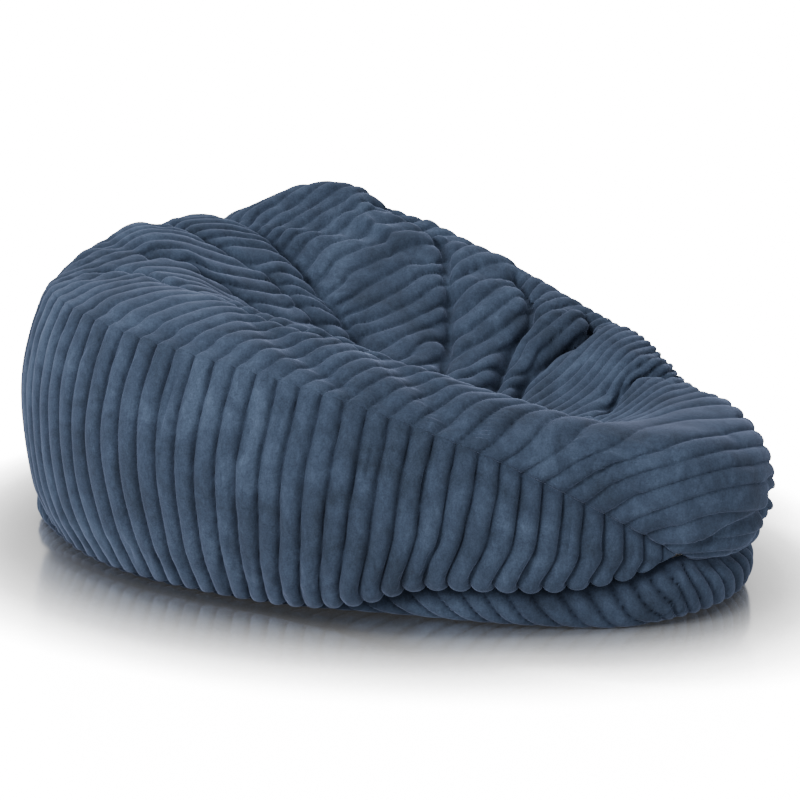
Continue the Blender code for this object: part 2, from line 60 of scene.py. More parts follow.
# Line of the seat panel along the middle: place along it, y, z. It rolls over the nose, dips and climbs.
SEAT_MIDDLE = (
    (0.00, -0.527, 0.074), (0.05, -0.561, 0.104), (0.11, -0.571, 0.160), (0.17, -0.549, 0.212),
    (0.23, -0.499, 0.245), (0.30, -0.423, 0.240), (0.38, -0.326, 0.205), (0.50, -0.176, 0.180),
    (0.62, -0.016, 0.196), (0.74, 0.149, 0.246), (0.85, 0.309, 0.334), (0.93, 0.429, 0.404),
    (0.97, 0.489, 0.421), (1.00, 0.529, 0.398),
)
# Line of the base panel along the middle, from the nose seam down round the front roll and back to the zip.
BASE_MIDDLE = (
    (0.00, -0.527, 0.074), (0.03, -0.537, 0.048), (0.06, -0.529, 0.018), (0.10, -0.499, 0.000),
    (0.20, -0.401, 0.000), (0.50, -0.011, 0.000), (0.85, 0.449, 0.000), (0.93, 0.529, 0.006),
    (0.97, 0.547, 0.028), (1.00, 0.529, 0.062),
)

# How far the rim stands above the seat, along the panel, on each side. The left side has settled lower.
RIM_LEFT = (
    (0.0, 0.0), (0.10, 0.010), (0.20, 0.006), (0.30, 0.000), (0.375, 0.016), (0.45, 0.038),
    (0.60, 0.053), (0.75, 0.066), (0.90, 0.060), (0.96, 0.022), (1.0, 0.0),
)
RIM_RIGHT = (
    (0.0, 0.0), (0.10, 0.014), (0.20, 0.014), (0.30, 0.006), (0.45, 0.010), (0.60, 0.016),
    (0.75, 0.018), (0.90, 0.016), (0.96, 0.008), (1.0, 0.0),
)
LEFT_SETTLING = (
    (0.0, 0.0), (0.10, 0.0), (0.20, 0.0), (0.30, -0.010), (0.50, -0.034), (0.70, -0.010),
    (0.85, 0.0), (1.0, 0.0),
)
HOLLOW_SHAPE = (
    (0.0, 2.0), (0.15, 2.0), (0.28, 1.4), (0.36, 2.0), (0.45, 2.4), (0.70, 1.5), (0.90, 1.4),
    (1.0, 2.0),
)
# The right rim is a broad shelf: how much of it there is along the panel, and where its slope runs.
SHELF = ((0.0, 0.0), (0.12, 0.0), (0.30, 0.85), (0.45, 1.0), (0.75, 1.0), (0.90, 0.8), (1.0, 0.0))
SHELF_SLOPE = (0.16, 0.62)
SIDE_BULGE = ((0.0, 0.0), (0.10, 0.012), (0.30, 0.028), (0.55, 0.034), (0.80, 0.028), (1.0, 0.022))
SIDE_TUCK = (
    (0.0, 0.0), (0.10, 0.004), (0.30, 0.010), (0.45, 0.026), (0.60, 0.030), (0.80, 0.026),
    (1.0, 0.0),
)
TUCK_POWER = 8.0  # how soon above its bottom seam a side panel swings out over the tuck
NOSE_LENGTH = 0.36  # part of the panel's length over which its rows still wrap round the nose
RIM_POWERS = (1.36, 3.1)  # put the right rim's crest at three fifths of the way out, the left one's at four
BULGE_POWER = 1.36  # puts the widest line of a side panel at three fifths of its height
BACK_BULGE = 0.0395
BOW = 2.0  # power of the curve in which the rows bow from the seams to the middle line
BASE_REAR_BOW = (8.0, 0.82, 0.94)  # the base's last rows turn squarer, between these two places
BASE_FRONT_TURN = 0.10  # part of the base panel's length that curls up to the nose seam
BASE_REAR_TURN = 0.07  # part that curls up to the zip
BASE_POWERS = (2.0, 16.0)  # how late the base curls up towards its side seams, at its ends and in the middle
BASE_ROLL = 0.2  # how far the base rolls out past its seam, as a part of the seam's height
BASE_ROLL_POWER = 6.0


def smooth_through(knots, values, at):
    """The smooth curve that passes through values[i] at knots[i], read at each number in at."""
    knots = np.asarray(knots, float)
    values = np.asarray(values, float)
    slopes = np.gradient(values, knots, axis=0)
    cell = np.clip(np.searchsorted(knots, at, side="right") - 1, 0, len(knots) - 2)
    width = knots[cell + 1] - knots[cell]
    f = (at - knots[cell]) / width
    if values.ndim > 1:
        f = f[..., None]
        width = width[..., None]
    start = (2 * f**3 - 3 * f**2 + 1) * values[cell] + (f**3 - 2 * f**2 + f) * width * slopes[cell]
    end = (3 * f**2 - 2 * f**3) * values[cell + 1] + (f**3 - f**2) * width * slopes[cell + 1]
    return start + end


def along(points, fractions):
    """Points of the smooth curve through these points, at fractions of its length."""
    points = np.asarray(points, float)
    chord = np.r_[0.0, np.cumsum(np.linalg.norm(np.diff(points, axis=0), axis=1))]
    fine = smooth_through(chord, points, np.linspace(0.0, chord[-1], 600))
    length = np.r_[0.0, np.cumsum(np.linalg.norm(np.diff(fine, axis=0), axis=1))]
    at = np.asarray(fractions) * length[-1]
    return np.stack([np.interp(at, length, fine[:, axis]) for axis in range(3)], axis=-1)


def table(pairs, at):
    """Reads a smooth curve that is given as pairs of place and value."""
    knots, values = zip(*pairs)
    return smooth_through(knots, values, at)


def smooth_step(low, high, at):
    f = np.clip((at - low) / (high - low), 0.0, 1.0)
    return f * f * (3.0 - 2.0 * f)


def grid_of(rows, columns):
    return np.meshgrid(rows, columns, indexing="ij")


def even(count, low=0.0, high=1.0):
    return np.linspace(low, high, count + 1)


def crowded(count, amount):
    """Steps from 0 to 1 that crowd towards both ends."""
    u = even(count)
    return u - amount * np.sin(2.0 * math.pi * u)


# The five panels, each as a grid of points


def wrap(s, t, edge, middle, power):
    """x and y of rows that bow from the edges to the middle line, and wrap round the nose at the front."""
    round_part = np.clip(1.0 - s / NOSE_LENGTH, 0.0, 1.0) ** 2
    wide = np.abs(t)
    across = (1.0 - round_part) * t + round_part * np.sin(0.5 * math.pi * t)
    bow = (1.0 - round_part) * (1.0 - wide**power) + round_part * np.cos(0.5 * math.pi * wide)
    return edge[..., 0] * across, edge[..., 1] + (middle[..., 0] - edge[..., 1]) * bow


def seat_surface(s, t):
    """Seat panel: s runs from the nose seam to the head seam, t from the right seam to the left."""
    edge = along(TOP_SEAM, s[:, 0])[:, None, :]
    middle = smooth_through([p[0] for p in SEAT_MIDDLE], [p[1:] for p in SEAT_MIDDLE], s)
    x, y = wrap(s, t, edge, middle, BOW)
    wide = np.abs(t)
    rise = wide ** table(HOLLOW_SHAPE, s)
    shelf = np.where(t < 0.0, np.clip(table(SHELF, s), 0.0, 1.0), 0.0)
    rise = rise + shelf * (smooth_step(*SHELF_SLOPE, wide) - rise)
    right_rim = table(RIM_RIGHT, s) * np.sin(math.pi * wide ** RIM_POWERS[0])
    left_rim = table(RIM_LEFT, s) * np.sin(math.pi * wide ** RIM_POWERS[1])
    rim = np.where(t < 0.0, right_rim, left_rim)
    edge_z = edge[..., 2] + np.where(t < 0.0, 0.0, table(LEFT_SETTLING, s))
    z = middle[..., 1] + (edge_z - middle[..., 1]) * rise + rim
    return np.stack([x, y, z], axis=-1)


def base_surface(s, t):
    """Base panel: s runs from the nose seam under the bag to the zip, t from the right seam to the left."""
    edge = along(BOTTOM_SEAM, s[:, 0])[:, None, :]
    middle = smooth_through([p[0] for p in BASE_MIDDLE], [p[1:] for p in BASE_MIDDLE], s)
    square, start, end = BASE_REAR_BOW
    x, y = wrap(s, t, edge, middle, BOW + (square - BOW) * np.clip((s - start) / (end - start), 0.0, 1.0))
    wide = np.abs(t)
    flat = np.minimum(s / BASE_FRONT_TURN, 1.0) * np.minimum((1.0 - s) / BASE_REAR_TURN, 1.0)
    power = BASE_POWERS[0] + (BASE_POWERS[1] - BASE_POWERS[0]) * flat
    x = x + np.sign(t) * BASE_ROLL * flat * edge[..., 2] * np.sin(math.pi * wide**BASE_ROLL_POWER)
    middle_z = np.maximum(0.0, middle[..., 1])
    z = middle_z + (edge[..., 2] - middle_z) * wide**power
    return np.stack([x, y, z], axis=-1)


def side_surface(s, h, settling=((0.0, 0.0), (1.0, 0.0))):
    """Side panel at +X: s runs along its seams from the front tip, h from the bottom seam to the top one."""
    low = along(BOTTOM_SEAM, s[:, 0])[:, None, :]
    high = along(TOP_SEAM, s[:, 0])[:, None, :]
    high[..., 2] += table(settling, s[:, :1])
    line = 0.5 * (low + high)[:, 0, :2]
    step = np.gradient(line, axis=0)
    outward = np.stack([step[:, 1], -step[:, 0]], axis=-1)
    outward = outward / np.linalg.norm(outward, axis=1, keepdims=True)
    bulge = table(SIDE_BULGE, s) * np.sin(math.pi * h**BULGE_POWER)
    bulge = bulge + table(SIDE_TUCK, s) * (1.0 - h) * (1.0 - (1.0 - h) ** TUCK_POWER)
    points = low + (high - low) * h[..., None]
    points[..., :2] += outward[:, None, :] * bulge[..., None]
    return points


def back_surface(h, t, left_edge):
    """Back panel: h runs up from the zip to the head seam, t from the right seam to the left."""
    top = SEAT_MIDDLE[-1]
    wide = t**2
    reach = BACK_BULGE * np.sin(math.pi * h) + (top[1] - TOP_SEAM[-1][1]) * h**3
    lift = (top[2] - TOP_SEAM[-1][2]) * h**3
    x = left_edge[:, None, 0] * t
    y = left_edge[:, None, 1] + reach * (1.0 - wide)
    z = left_edge[:, None, 2] + lift * (1.0 - wide)
    return np.stack([x, y, z], axis=-1)


# How the cloth lies. A rib is one tube of the cord. Ribs are counted from the nose along the right seam.
RIBS = 38
SIDE_RIB_HEIGHT = 0.0090
SEAT_RIB_HEIGHT = 0.0064
BASE_RIB_HEIGHT = 0.0095
BACK_RIB_HEIGHT = 0.0065
RIB_ROUNDNESS = (2.3, 0.64)
# Painted shade: this sets how dark the seat's grooves and crease bottoms are painted, beside the sides'
# grooves.
SEAT_GROOVE_SHADE = 0.36  # how dark the grooves of the seat are beside those of the sides
PUCKERED_RIB_GAIN = 0.60  # how much taller ribs are where the cloth is puckered
SEAT_RIB_LEAN = (0.30, 0.80)  # how far ribs hang down a slope, on smooth cloth, and what puckers add
BACK_RIB_LEAN = 0.4
FLAT_BASE_RIBS = 0.35  # how much of the base's ribs is left where the floor presses on them
BASE_PITCH = 0.0285
BACK_PITCH = 0.0300
# On the base roll the ribs are counted along its outline, a half circle at the front, and they lean forwards.
FRONT_CENTRE = -0.36
FRONT_RADIUS = 0.19
BASE_SLANT = 0.62
BASE_SLANT_REACH = 0.13
SLANT_TURN = (0.5, 1.3)
SIDE_SLANT = ((0.0, 0.0), (0.30, 0.0), (0.50, 0.014), (0.65, 0.040), (0.80, 0.055), (1.0, 0.060))
SIDE_SLANT_POWER = 1.5
SIDE_RIB_ENDS = (0.014, 0.018)  # a side rib's ends are round: how long, at its lower and its upper seam
# Angle of the seat's ribs, in degrees towards the nose, by where each starts on the right seam.
RIB_ANGLES = ((-0.2, 6.0), (0.0, 8.0), (0.30, 12.0), (0.60, 19.0), (0.80, 22.0), (1.40, 22.0))
RIB_STARTS = (-0.2, 1.4)  # the seam's line is drawn on past both its ends, for ribs that start beyond it
HEAD_UNROLL = (0.92, 0.96)  # over this part of the panel the slope up to the head starts to count as length
# Round the nose the ribs follow the panel's rows, less a lag at the middle, and gain towards the left side.
NOSE_LAG = ((0.0, 1.8), (0.10, 2.8), (0.20, 3.8), (0.30, 4.8), (0.38, 5.4), (0.60, 5.4), (1.0, 5.4))
NOSE_GAIN = ((0.0, 0.6), (0.10, 1.6), (0.20, 2.8), (0.30, 3.9), (0.40, 5.2), (0.60, 7.0), (1.0, 7.0))
NOSE_END = (0.22, 0.42)

# Creases of the seat: depth, half-width, and the places (s, t) that each runs through.
SEAT_CREASES = (
    (0.036, 0.022, (1.0, 0.55), (0.955, 0.48), (0.92, 0.43), (0.88, 0.385), (0.84, 0.33), (0.80, 0.27),
     (0.75, 0.19), (0.70, 0.10), (0.66, 0.08)),
    (0.024, 0.022, (0.88, 0.94), (0.82, 0.90), (0.76, 0.84), (0.71, 0.76), (0.69, 0.66), (0.675, 0.56),
     (0.655, 0.41), (0.64, 0.25)),
    (0.036, 0.013, (0.59, 0.88), (0.575, 0.80), (0.565, 0.66), (0.58, 0.53), (0.58, 0.38), (0.57, 0.18)),
    (0.048, 0.015, (0.465, 0.88), (0.465, 0.80), (0.49, 0.68), (0.52, 0.60), (0.545, 0.47), (0.55, 0.32),
     (0.54, 0.10)),
    (0.024, 0.012, (0.31, 0.72), (0.345, 0.66), (0.375, 0.57), (0.405, 0.42), (0.42, 0.22)),
    (0.019, 0.013, (0.99, 0.06), (0.945, 0.0), (0.91, 0.03), (0.88, 0.08), (0.85, 0.11), (0.81, 0.09),
     (0.76, 0.07), (0.70, -0.02)),
    (0.020, 0.012, (0.90, -0.72), (0.85, -0.62), (0.80, -0.60), (0.75, -0.58), (0.70, -0.60), (0.65, -0.62),
     (0.60, -0.60), (0.55, -0.55), (0.50, -0.46)),
    (0.021, 0.012, (0.90, -0.42), (0.87, -0.30), (0.84, -0.20), (0.80, -0.14), (0.75, -0.14), (0.70, -0.20),
     (0.65, -0.26), (0.60, -0.28)),
    (0.010, 0.012, (0.04, -0.62), (0.07, -0.38), (0.085, -0.15), (0.09, 0.10)),
    (0.014, 0.012, (0.02, 0.75), (0.08, 0.55), (0.10, 0.30), (0.09, 0.12)),
    (0.012, 0.010, (0.03, -0.20), (0.05, 0.10), (0.06, 0.40), (0.05, 0.70)),
)
CREASE_SHARPNESS = 1.15
# Lumps where the beads push out: place (s, t), height, and reach along and across.
SEAT_LUMPS = (
    ((0.42, 0.68), 0.014, 0.06, 0.16),
    ((0.64, 0.72), 0.008, 0.05, 0.16),
    ((0.82, 0.66), 0.012, 0.10, 0.20),
    ((0.90, -0.30), 0.010, 0.08, 0.20),
    ((0.96, -0.62), 0.010, 0.05, 0.20),
    ((0.70, -0.82), 0.005, 0.10, 0.12),
    ((0.86, 0.80), 0.006, 0.06, 0.14),
)
RIB_END = 0.0085  # how far from the bottom of a crease the ribs reach their full height
PUCKER_REACH = 2.4  # the cloth is puckered this many half-widths from a crease
# Unevenness of each panel: its height, its size along two axes, and its seed. Heights are in metres where the
# cloth swells, in ribs where the ribs wander, and shares where a crease's depth or a rib's height varies.
SEAT_SWELLS = ((0.0050, 0.12, 0.12, 1.0), (0.0022, 0.050, 0.050, 2.0))
SEAT_PUCKER = (0.0062, 0.028, 0.028, 7.0)
SEAT_WANDER = (0.18, 0.12, 0.10, 3.0)
SEAT_PUCKER_WANDER = (0.60, 0.045, 0.08, 4.0)
SEAT_RIB_UNEVEN = (0.16, 0.05, 0.03, 5.0)
CREASE_DEPTH = 0.80
CREASE_UNEVEN = (0.35, 0.07, 0.07, 9.0)
SIDE_SWELLS = ((0.0035, 0.16, 0.11, 11.0), (0.0012, 0.03, 0.05, 12.0))
SIDE_WANDER = (0.07, 0.05, 0.07, 13.0)
BASE_WANDER = (0.12, 0.07, 0.07, 21.0)
BACK_SWELL = (0.004, 0.10, 0.08, 31.0)
BACK_WANDER = (0.1, 0.06, 0.06, 32.0)
PLAN = (0, 1)  # the axes that the seat's and the base's unevenness is read on
SIDE_ON = (1, 2)
BEHIND = (0, 2)
RIB_MIDDLE = 0.55  # the height of a rib, as a part of the whole, that lies on the panel's own surface

# The lower edge of each side hangs out over the roll of the base: how far, along the seam.
LIP = (
    (0.0, 0.0), (0.06, 0.011), (0.16, 0.021), (0.30, 0.023), (0.42, 0.018), (0.50, 0.006),
    (0.60, 0.0), (1.0, 0.0),
)
LIP_HEIGHT = 0.42
LIP_POWER = 1.4
LIP_SCALLOP = 0.22  # how much lower each rib hangs on it
DEEPER_BEHIND_LIP = 0.15
LIP_DIRECTION = np.array((0.95, 0.0, -0.02))
CENTRE = np.array((0.0, 0.05, 0.16))

# Seams: how far they pull in, how much of the ribs is left on them, and how far from them the cloth feels it.
SEAM_RIB_HEIGHT = 0.0060
SEAM_DEPTH = 0.0055
SEAM_REACH = 0.010
NOSE_SEAM_DEPTH = 0.009
NOSE_SEAM_REACH = 0.020
BOTTOM_SEAM_DEPTH = 0.008
BOTTOM_SEAM_REACH = 0.012
LOWEST_CLOTH = 0.0008

# Cloth simulation: how many points of the panel go to one of its own, how slack the cloth is cut, how much of
# the panel's swelling is kept, how far from its edges it starts, and how far it may move.
CLOTH_STEP = 4
CLOTH_FRAMES = 20
CLOTH_PRESSURE = 4.0
CLOTH_SLACK = 0.035
CLOTH_SWELL_KEPT = 0.25
CLOTH_EDGE = 0.06
SWELL_BEFORE_CLOTH = 0.45  # how much of the seat's creases and lumps is there before the cloth settles
CLOTH_SMOOTHING = 60
CLOTH_QUALITY = 6
CLOTH_STIFFNESS = 12.0
CLOTH_BENDING = 0.35
CLOTH_AIR_DAMPING = 4.0
SEAT_CLOTH_CAP = 0.014
SIDE_CLOTH_CAP = 0.008
BACK_CLOTH_CAP = 0.010

SEAT_GRID = (480, 200)
SIDE_GRID = (620, 84)
SIDE_START = 0.004  # a side panel's first row, a little behind the tip where its two seams meet
BASE_GRID = (360, 200)
BACK_GRID = (130, 240)
# The liner and the beads in it: rows, columns and levels, and how far they lie inside the outer cloth.
LINER_GRID = (96, 48)
LINER_LEVELS = np.r_[np.linspace(0.0, 0.27, 6), np.linspace(0.315, 1.0, 12)]
LINER_INSET = 0.0135
LINER_CLOTH = 0.0004
CORE_BELOW_CREASES = 0.014
BEADS_INSET = 0.0185
BEADS_BEHIND_SLOT = 0.011
BEADS_PER_METRE = 230.0
SLOT_LEVEL = 5
SLOT_REACH = 0.79
LINER_SLOT_Y = 0.517
LINER_SLOT_Z = (0.145, 0.159)
ZIP_ROOM = 0.012
ZIP_GAP = 0.009
SEAM_ALLOWANCE = 0.006
TOOTH_PITCH = 0.0016
LABEL_REACH = 0.92  # how much of its room in the frame the label fills, outwards and upwards
LABEL_WIDTH = 0.96
LABEL_CURL = 0.0035
LABEL_CLOTH = 0.00035
LABEL_PLY_GAP = 0.0006

# Pile colours, from where it lies away from the light to where it lies towards it.
PILE_DARK = (0.026, 0.037, 0.059)
PILE_COLOUR = (0.037, 0.053, 0.087)
PILE_LIGHT = (0.056, 0.080, 0.127)
# How the light falls off from the crest of a rib down into the groove.
GROOVE_TO_CREST = (
    (0.0, (0.24, 0.26, 0.30)),
    (0.45, (0.72, 0.73, 0.75)),
    (0.80, (1.0, 1.0, 1.0)),
    (1.0, (1.10, 1.10, 1.10)),
)
# The two colours that each of the other finishes is mottled between.
LINER_COLOURS = ((0.66, 0.66, 0.63), (0.76, 0.76, 0.74))
LABEL_COLOURS = ((0.74, 0.74, 0.72), (0.84, 0.84, 0.82))
TAPE_COLOURS = ((0.012, 0.019, 0.032), (0.022, 0.032, 0.052))
TEETH_COLOURS = ((0.022, 0.031, 0.050), (0.034, 0.046, 0.070))
METAL_COLOURS = ((0.46, 0.46, 0.48), (0.60, 0.60, 0.62))

# Studio: name, azimuth, elevation, distance, size and power of each light.
LIGHTS = (
    ("key", -102.0, 34.0, 3.6, 1.3, 100.0),
    ("fill", -20.0, 18.0, 4.0, 2.5, 28.0),
    ("back", 130.0, 55.0, 3.5, 1.5, 45.0),
)
WORLD_STRENGTH = 0.60
BACKDROP_GLARE = 20.0
FLOOR_SIZE = 40.0
# What the camera sees of the floor, from right against the bag to out in the open: openness and brightness.
# The dim end is a painted contact shadow round the bag.
FLOOR_SHADOW_AND_GLARE = ((0.30, 0.03), (0.50, 0.10), (0.66, 0.42), (0.80, 1.6), (0.92, 6.5), (1.0, 16.0))
FLOOR_SHADOW_REACH = 0.24
FLOOR_MIRROR_ROUGHNESS = 0.16
LOOK_AT = (0.0, 0.024, 0.2)
CAMERA_VIEW = (-55.0, 16.0)
CAMERA_DISTANCE = 3.0
CAMERA_LENS = 90.5


# Noise, ribs and grids


def rib(count):
    """Height of the cord, 0 in a groove and 1 on the crest of a rib, at a place counted in ribs."""
    power, root = RIB_ROUNDNESS
    across = np.abs(2.0 * (count - np.floor(count)) - 1.0)
    return (1.0 - across**power) ** root


def value_noise(x, y, seed):
    """Smooth noise from -1 to 1 on a plane, from a hashed lattice."""
    xi, yi = np.floor(x), np.floor(y)
    fx, fy = x - xi, y - yi
    fx, fy = fx * fx * (3 - 2 * fx), fy * fy * (3 - 2 * fy)

    def corner(a, b):
        n = np.sin(a * 127.1 + b * 311.7 + seed * 74.7) * 43758.5453
        return 2.0 * (n - np.floor(n)) - 1.0

    low = corner(xi, yi) * (1 - fx) + corner(xi + 1, yi) * fx
    high = corner(xi, yi + 1) * (1 - fx) + corner(xi + 1, yi + 1) * fx
    return low * (1 - fy) + high * fy


def unevenness(points, axes, kind):
    height, size_a, size_b, seed = kind
    return height * value_noise(points[..., axes[0]] / size_a, points[..., axes[1]] / size_b, seed)


def grid_normals(points, outward_from):
    normal = unit(np.cross(np.gradient(points, axis=0), np.gradient(points, axis=1)))
    row, column = points.shape[0] // 2, points.shape[1] // 2
    if np.dot(normal[row, column], points[row, column] - outward_from) < 0.0:
        normal = -normal
    return normal


def distance_to(points, line):
    """Distance of each point of a grid from a line of points in space."""
    flat = points.reshape(-1, 3)
    best = np.full(len(flat), 1e9)
    for start, end in zip(line[:-1], line[1:]):
        along_line = end - start
        f = np.clip((flat - start) @ along_line / max(along_line @ along_line, 1e-12), 0.0, 1.0)
        away = flat - start - f[:, None] * along_line
        best = np.minimum(best, np.einsum("ij,ij->i", away, away))
    return np.sqrt(best).reshape(points.shape[:-1])


def curve_through(places, count=60):
    """A smooth line through places (s, t) on the seat, as points in space."""
    chord = np.r_[0.0, np.cumsum(np.linalg.norm(np.diff(np.asarray(places), axis=0), axis=1))]
    line = smooth_through(chord, places, np.linspace(0.0, chord[-1], count))
    return seat_surface(np.clip(line[:, :1], 0.0, 1.0), np.clip(line[:, 1:], -1.0, 1.0))[:, 0]


def edge_distances(points):
    """Distance along the cloth from the first and the last row, and from the first and the last column."""
    down = np.linalg.norm(np.diff(points, axis=0), axis=-1)
    over = np.linalg.norm(np.diff(points, axis=1), axis=-1)
    down = np.concatenate([np.zeros((1, points.shape[1])), np.cumsum(down, axis=0)])
    over = np.concatenate([np.zeros((points.shape[0], 1)), np.cumsum(over, axis=1)], axis=1)
    return down, down[-1:] - down, over, over[:, -1:] - over


def droop(normal):
    """The way cloth hangs on a slope: nothing on the flat, straight down on an upright wall."""
    return normal * normal[..., 2:3] - np.array((0.0, 0.0, 1.0))


def unit(vectors):
    return vectors / np.maximum(np.linalg.norm(vectors, axis=-1, keepdims=True), 1e-9)


def mirrored(points):
    return points * np.array((-1.0, 1.0, 1.0))


def lip_shape(s, h):
    """How far the lower edge of a side hangs out."""
    return table(LIP, s) * np.sin(math.pi * np.sqrt(np.clip(h / LIP_HEIGHT, 0.0, 1.0))) ** LIP_POWER


def bottom_seam_depth(s):
    return BOTTOM_SEAM_DEPTH + DEEPER_BEHIND_LIP * table(LIP, s)


def side_points(s, h, left):
    points = side_surface(s, h, LEFT_SETTLING if left else ((0.0, 0.0), (1.0, 0.0)))
    points = points + lip_shape(s, h)[..., None] * LIP_DIRECTION
    return points if left else mirrored(points)


def back_edge(h):
    """The upright seam between the left side panel and the back panel."""
    levels = even(60)
    s_edge, h_edge = grid_of(even(8, 0.96), levels)
    edge = side_surface(s_edge, h_edge, LEFT_SETTLING)[-1]
    return np.stack([np.interp(h, levels, edge[:, axis]) for axis in range(3)], axis=-1)


def seam_normals():
    """Outward direction of each seam, midway between the two panels it joins, at even steps along it."""
    steps = even(240)
    found = {"steps": steps, "nose_steps": even(80, -1.0)}
    s, t = grid_of(steps, found["nose_steps"])
    seat = grid_normals(seat_surface(s, t), CENTRE)
    base = grid_normals(base_surface(s, t), CENTRE)
    s, h = grid_of(steps, even(40))
    for left, name, column in ((True, "left", -1), (False, "right", 0)):
        side = grid_normals(side_points(s, h, left), CENTRE)
        side[0] = side[3]
        found["top_" + name] = unit(side[:, -1] + seat[:, column])
        found["bottom_" + name] = unit(side[:, 0] + base[:, column])
    found["nose"] = unit(seat[0] + base[0])
    return found


def read_normals(table_of, steps, at):
    return unit(np.stack([np.interp(at, steps, table_of[:, axis]) for axis in range(3)], axis=-1))


def toward_seam(move, normal_of_seam, height, distance, reach):
    """Near a seam, replaces a panel's own move with the seam's, so that both panels meet there."""
    weight = 1.0 - smooth_step(0.0, reach, distance)
    return move * (1.0 - weight[..., None]) + normal_of_seam * (height * weight)[..., None]


# The seat: its creases and lumps, and where its ribs run


def seat_swell(points, s, t):
    """Four grids: how far the beads or creases move the cloth, how puckered it is, where it is free of its
    seams, and how much of each rib is left near a crease.
    """
    from_nose, from_head, from_right, from_left = edge_distances(points)
    inside = smooth_step(0.0, 0.05, np.minimum(from_right, from_left)) * smooth_step(0.0, 0.05, from_nose)
    inside = inside * smooth_step(0.0, 0.04, from_head)
    swell = np.zeros(s.shape)
    pucker = np.zeros(s.shape)
    ends = np.ones(s.shape)
    for depth, width, *places in SEAT_CREASES:
        away = distance_to(points, curve_through(places))
        uneven = CREASE_DEPTH + unevenness(points, PLAN, CREASE_UNEVEN)
        swell -= depth * uneven * np.exp(-((away / width) ** CREASE_SHARPNESS))
        pucker += np.exp(-((away / (PUCKER_REACH * width)) ** 2))
        ends *= 1.0 - 0.85 * np.minimum(uneven, 1.0) * np.exp(-((away / RIB_END) ** 2))
    for (place_s, place_t), height, reach_s, reach_t in SEAT_LUMPS:
        swell += height * np.exp(-(((s - place_s) / reach_s) ** 2) - ((t - place_t) / reach_t) ** 2)
    pucker = np.minimum(pucker, 1.0)
    for kind in SEAT_SWELLS:
        swell += unevenness(points, PLAN, kind)
    swell += pucker * unevenness(points, PLAN, SEAT_PUCKER)
    return swell * inside, pucker * inside, inside, 1.0 - (1.0 - ends) * inside


def rolled_out(points, s):
    """Distance along the cloth from front to back, as if the slopes of the hollow were laid flat."""
    weight = smooth_step(*HEAD_UNROLL, s)
    step = np.diff(points, axis=0)
    rise = 0.5 * (weight[1:] + weight[:-1]) * step[..., 2]
    length = np.where(rise > 0.0, np.hypot(step[..., 1], rise), step[..., 1])
    return np.concatenate([np.zeros((1, points.shape[1])), np.cumsum(length, axis=0)]) + points[:1, :, 1]


def seat_rib_count(points, s, t):
    """Ribs counted along the right seam, each straight across the cloth at its own angle, save at the nose."""
    flat = rolled_out(points, s)
    starts = np.linspace(*RIB_STARTS, 400)
    start_s = s[:, 0]
    seam = flat[:, 0]
    inner = np.clip(starts, 0.0, 1.0)
    before = (seam[4] - seam[0]) / start_s[4] * np.minimum(starts, 0.0)
    beyond = (seam[-1] - seam[-5]) / start_s[4] * np.maximum(starts - 1.0, 0.0)
    seam_flat = np.interp(inner, start_s, seam) + before + beyond
    seam_x = np.interp(inner, start_s, points[:, 0, 0])
    slope = np.tan(np.radians(table(RIB_ANGLES, starts)))
    count = np.empty(flat.shape)
    for row in range(flat.shape[0]):
        lines = seam_flat - slope * (points[row, :, :1] - seam_x)
        after = np.clip((lines < flat[row][:, None]).sum(axis=1), 1, len(starts) - 1)
        each = np.arange(len(after))
        low, high = lines[each, after - 1], lines[each, after]
        f = np.clip((flat[row] - low) / np.maximum(high - low, 1e-9), 0.0, 1.0)
        count[row] = RIBS * (starts[after - 1] + f * (starts[1] - starts[0]))
    nose = RIBS * s - table(NOSE_LAG, s) * (1.0 - t**2) + table(NOSE_GAIN, s) * 0.5 * (1.0 + t)
    return nose + (count - nose) * smooth_step(*NOSE_END, s)


# The five cloth panels


def seat_panel_points(seams):
    rows, columns = SEAT_GRID
    s, t = grid_of(even(rows), 2.0 * crowded(columns, 0.04) - 1.0)
    points = seat_surface(s, t)
    from_nose, _, from_right, from_left = edge_distances(points)
    count = seat_rib_count(points, s, t)
    swell, pucker, inside, ends = seat_swell(points, s, t)
    unsettled = points
    swell_move = grid_normals(points, CENTRE) * swell[..., None]
    points = settled("seat", points + SWELL_BEFORE_CLOTH * swell_move, SEAT_CLOTH_CAP)
    points = points + (1.0 - SWELL_BEFORE_CLOTH) * swell_move
    normal = grid_normals(points, CENTRE)
    left_count = count[:, -1].copy()
    count = count + unevenness(unsettled, PLAN, SEAT_WANDER) * inside
    count = count + unevenness(unsettled, PLAN, SEAT_PUCKER_WANDER) * pucker
    height = SEAT_RIB_HEIGHT * (1.0 + unevenness(unsettled, PLAN, SEAT_RIB_UNEVEN))
    height = height * (1.0 + PUCKERED_RIB_GAIN * pucker)
    ribs = rib(count) * ends
    lean = (SEAT_RIB_LEAN[0] + SEAT_RIB_LEAN[1] * pucker) * inside
    move = (normal + droop(normal) * lean[..., None]) * (height * (ribs - RIB_MIDDLE))[..., None]
    right = ("top_right", from_right, RIBS * s[:, 0])
    left = ("top_left", from_left, left_count)
    for name, distance, at_seam in (right, left):
        along_seam = read_normals(seams[name], seams["steps"], s[:, 0])[:, None, :]
        seam_height = (SEAM_RIB_HEIGHT * rib(at_seam) - SEAM_DEPTH)[:, None]
        move = toward_seam(move, along_seam, seam_height, distance, SEAM_REACH)
    nose = read_normals(seams["nose"], seams["nose_steps"], t[0])[None, :, :]
    move = toward_seam(move, nose, np.full(s.shape, -NOSE_SEAM_DEPTH), from_nose, NOSE_SEAM_REACH)
    # The second grid feeds the material's painted shade: dark in the seat's grooves and where the ribs flatten
    # at the bottoms of its creases.
    return points + move, 1.0 - SEAT_GROOVE_SHADE * (1.0 - ribs), left_count, s[:, 0]


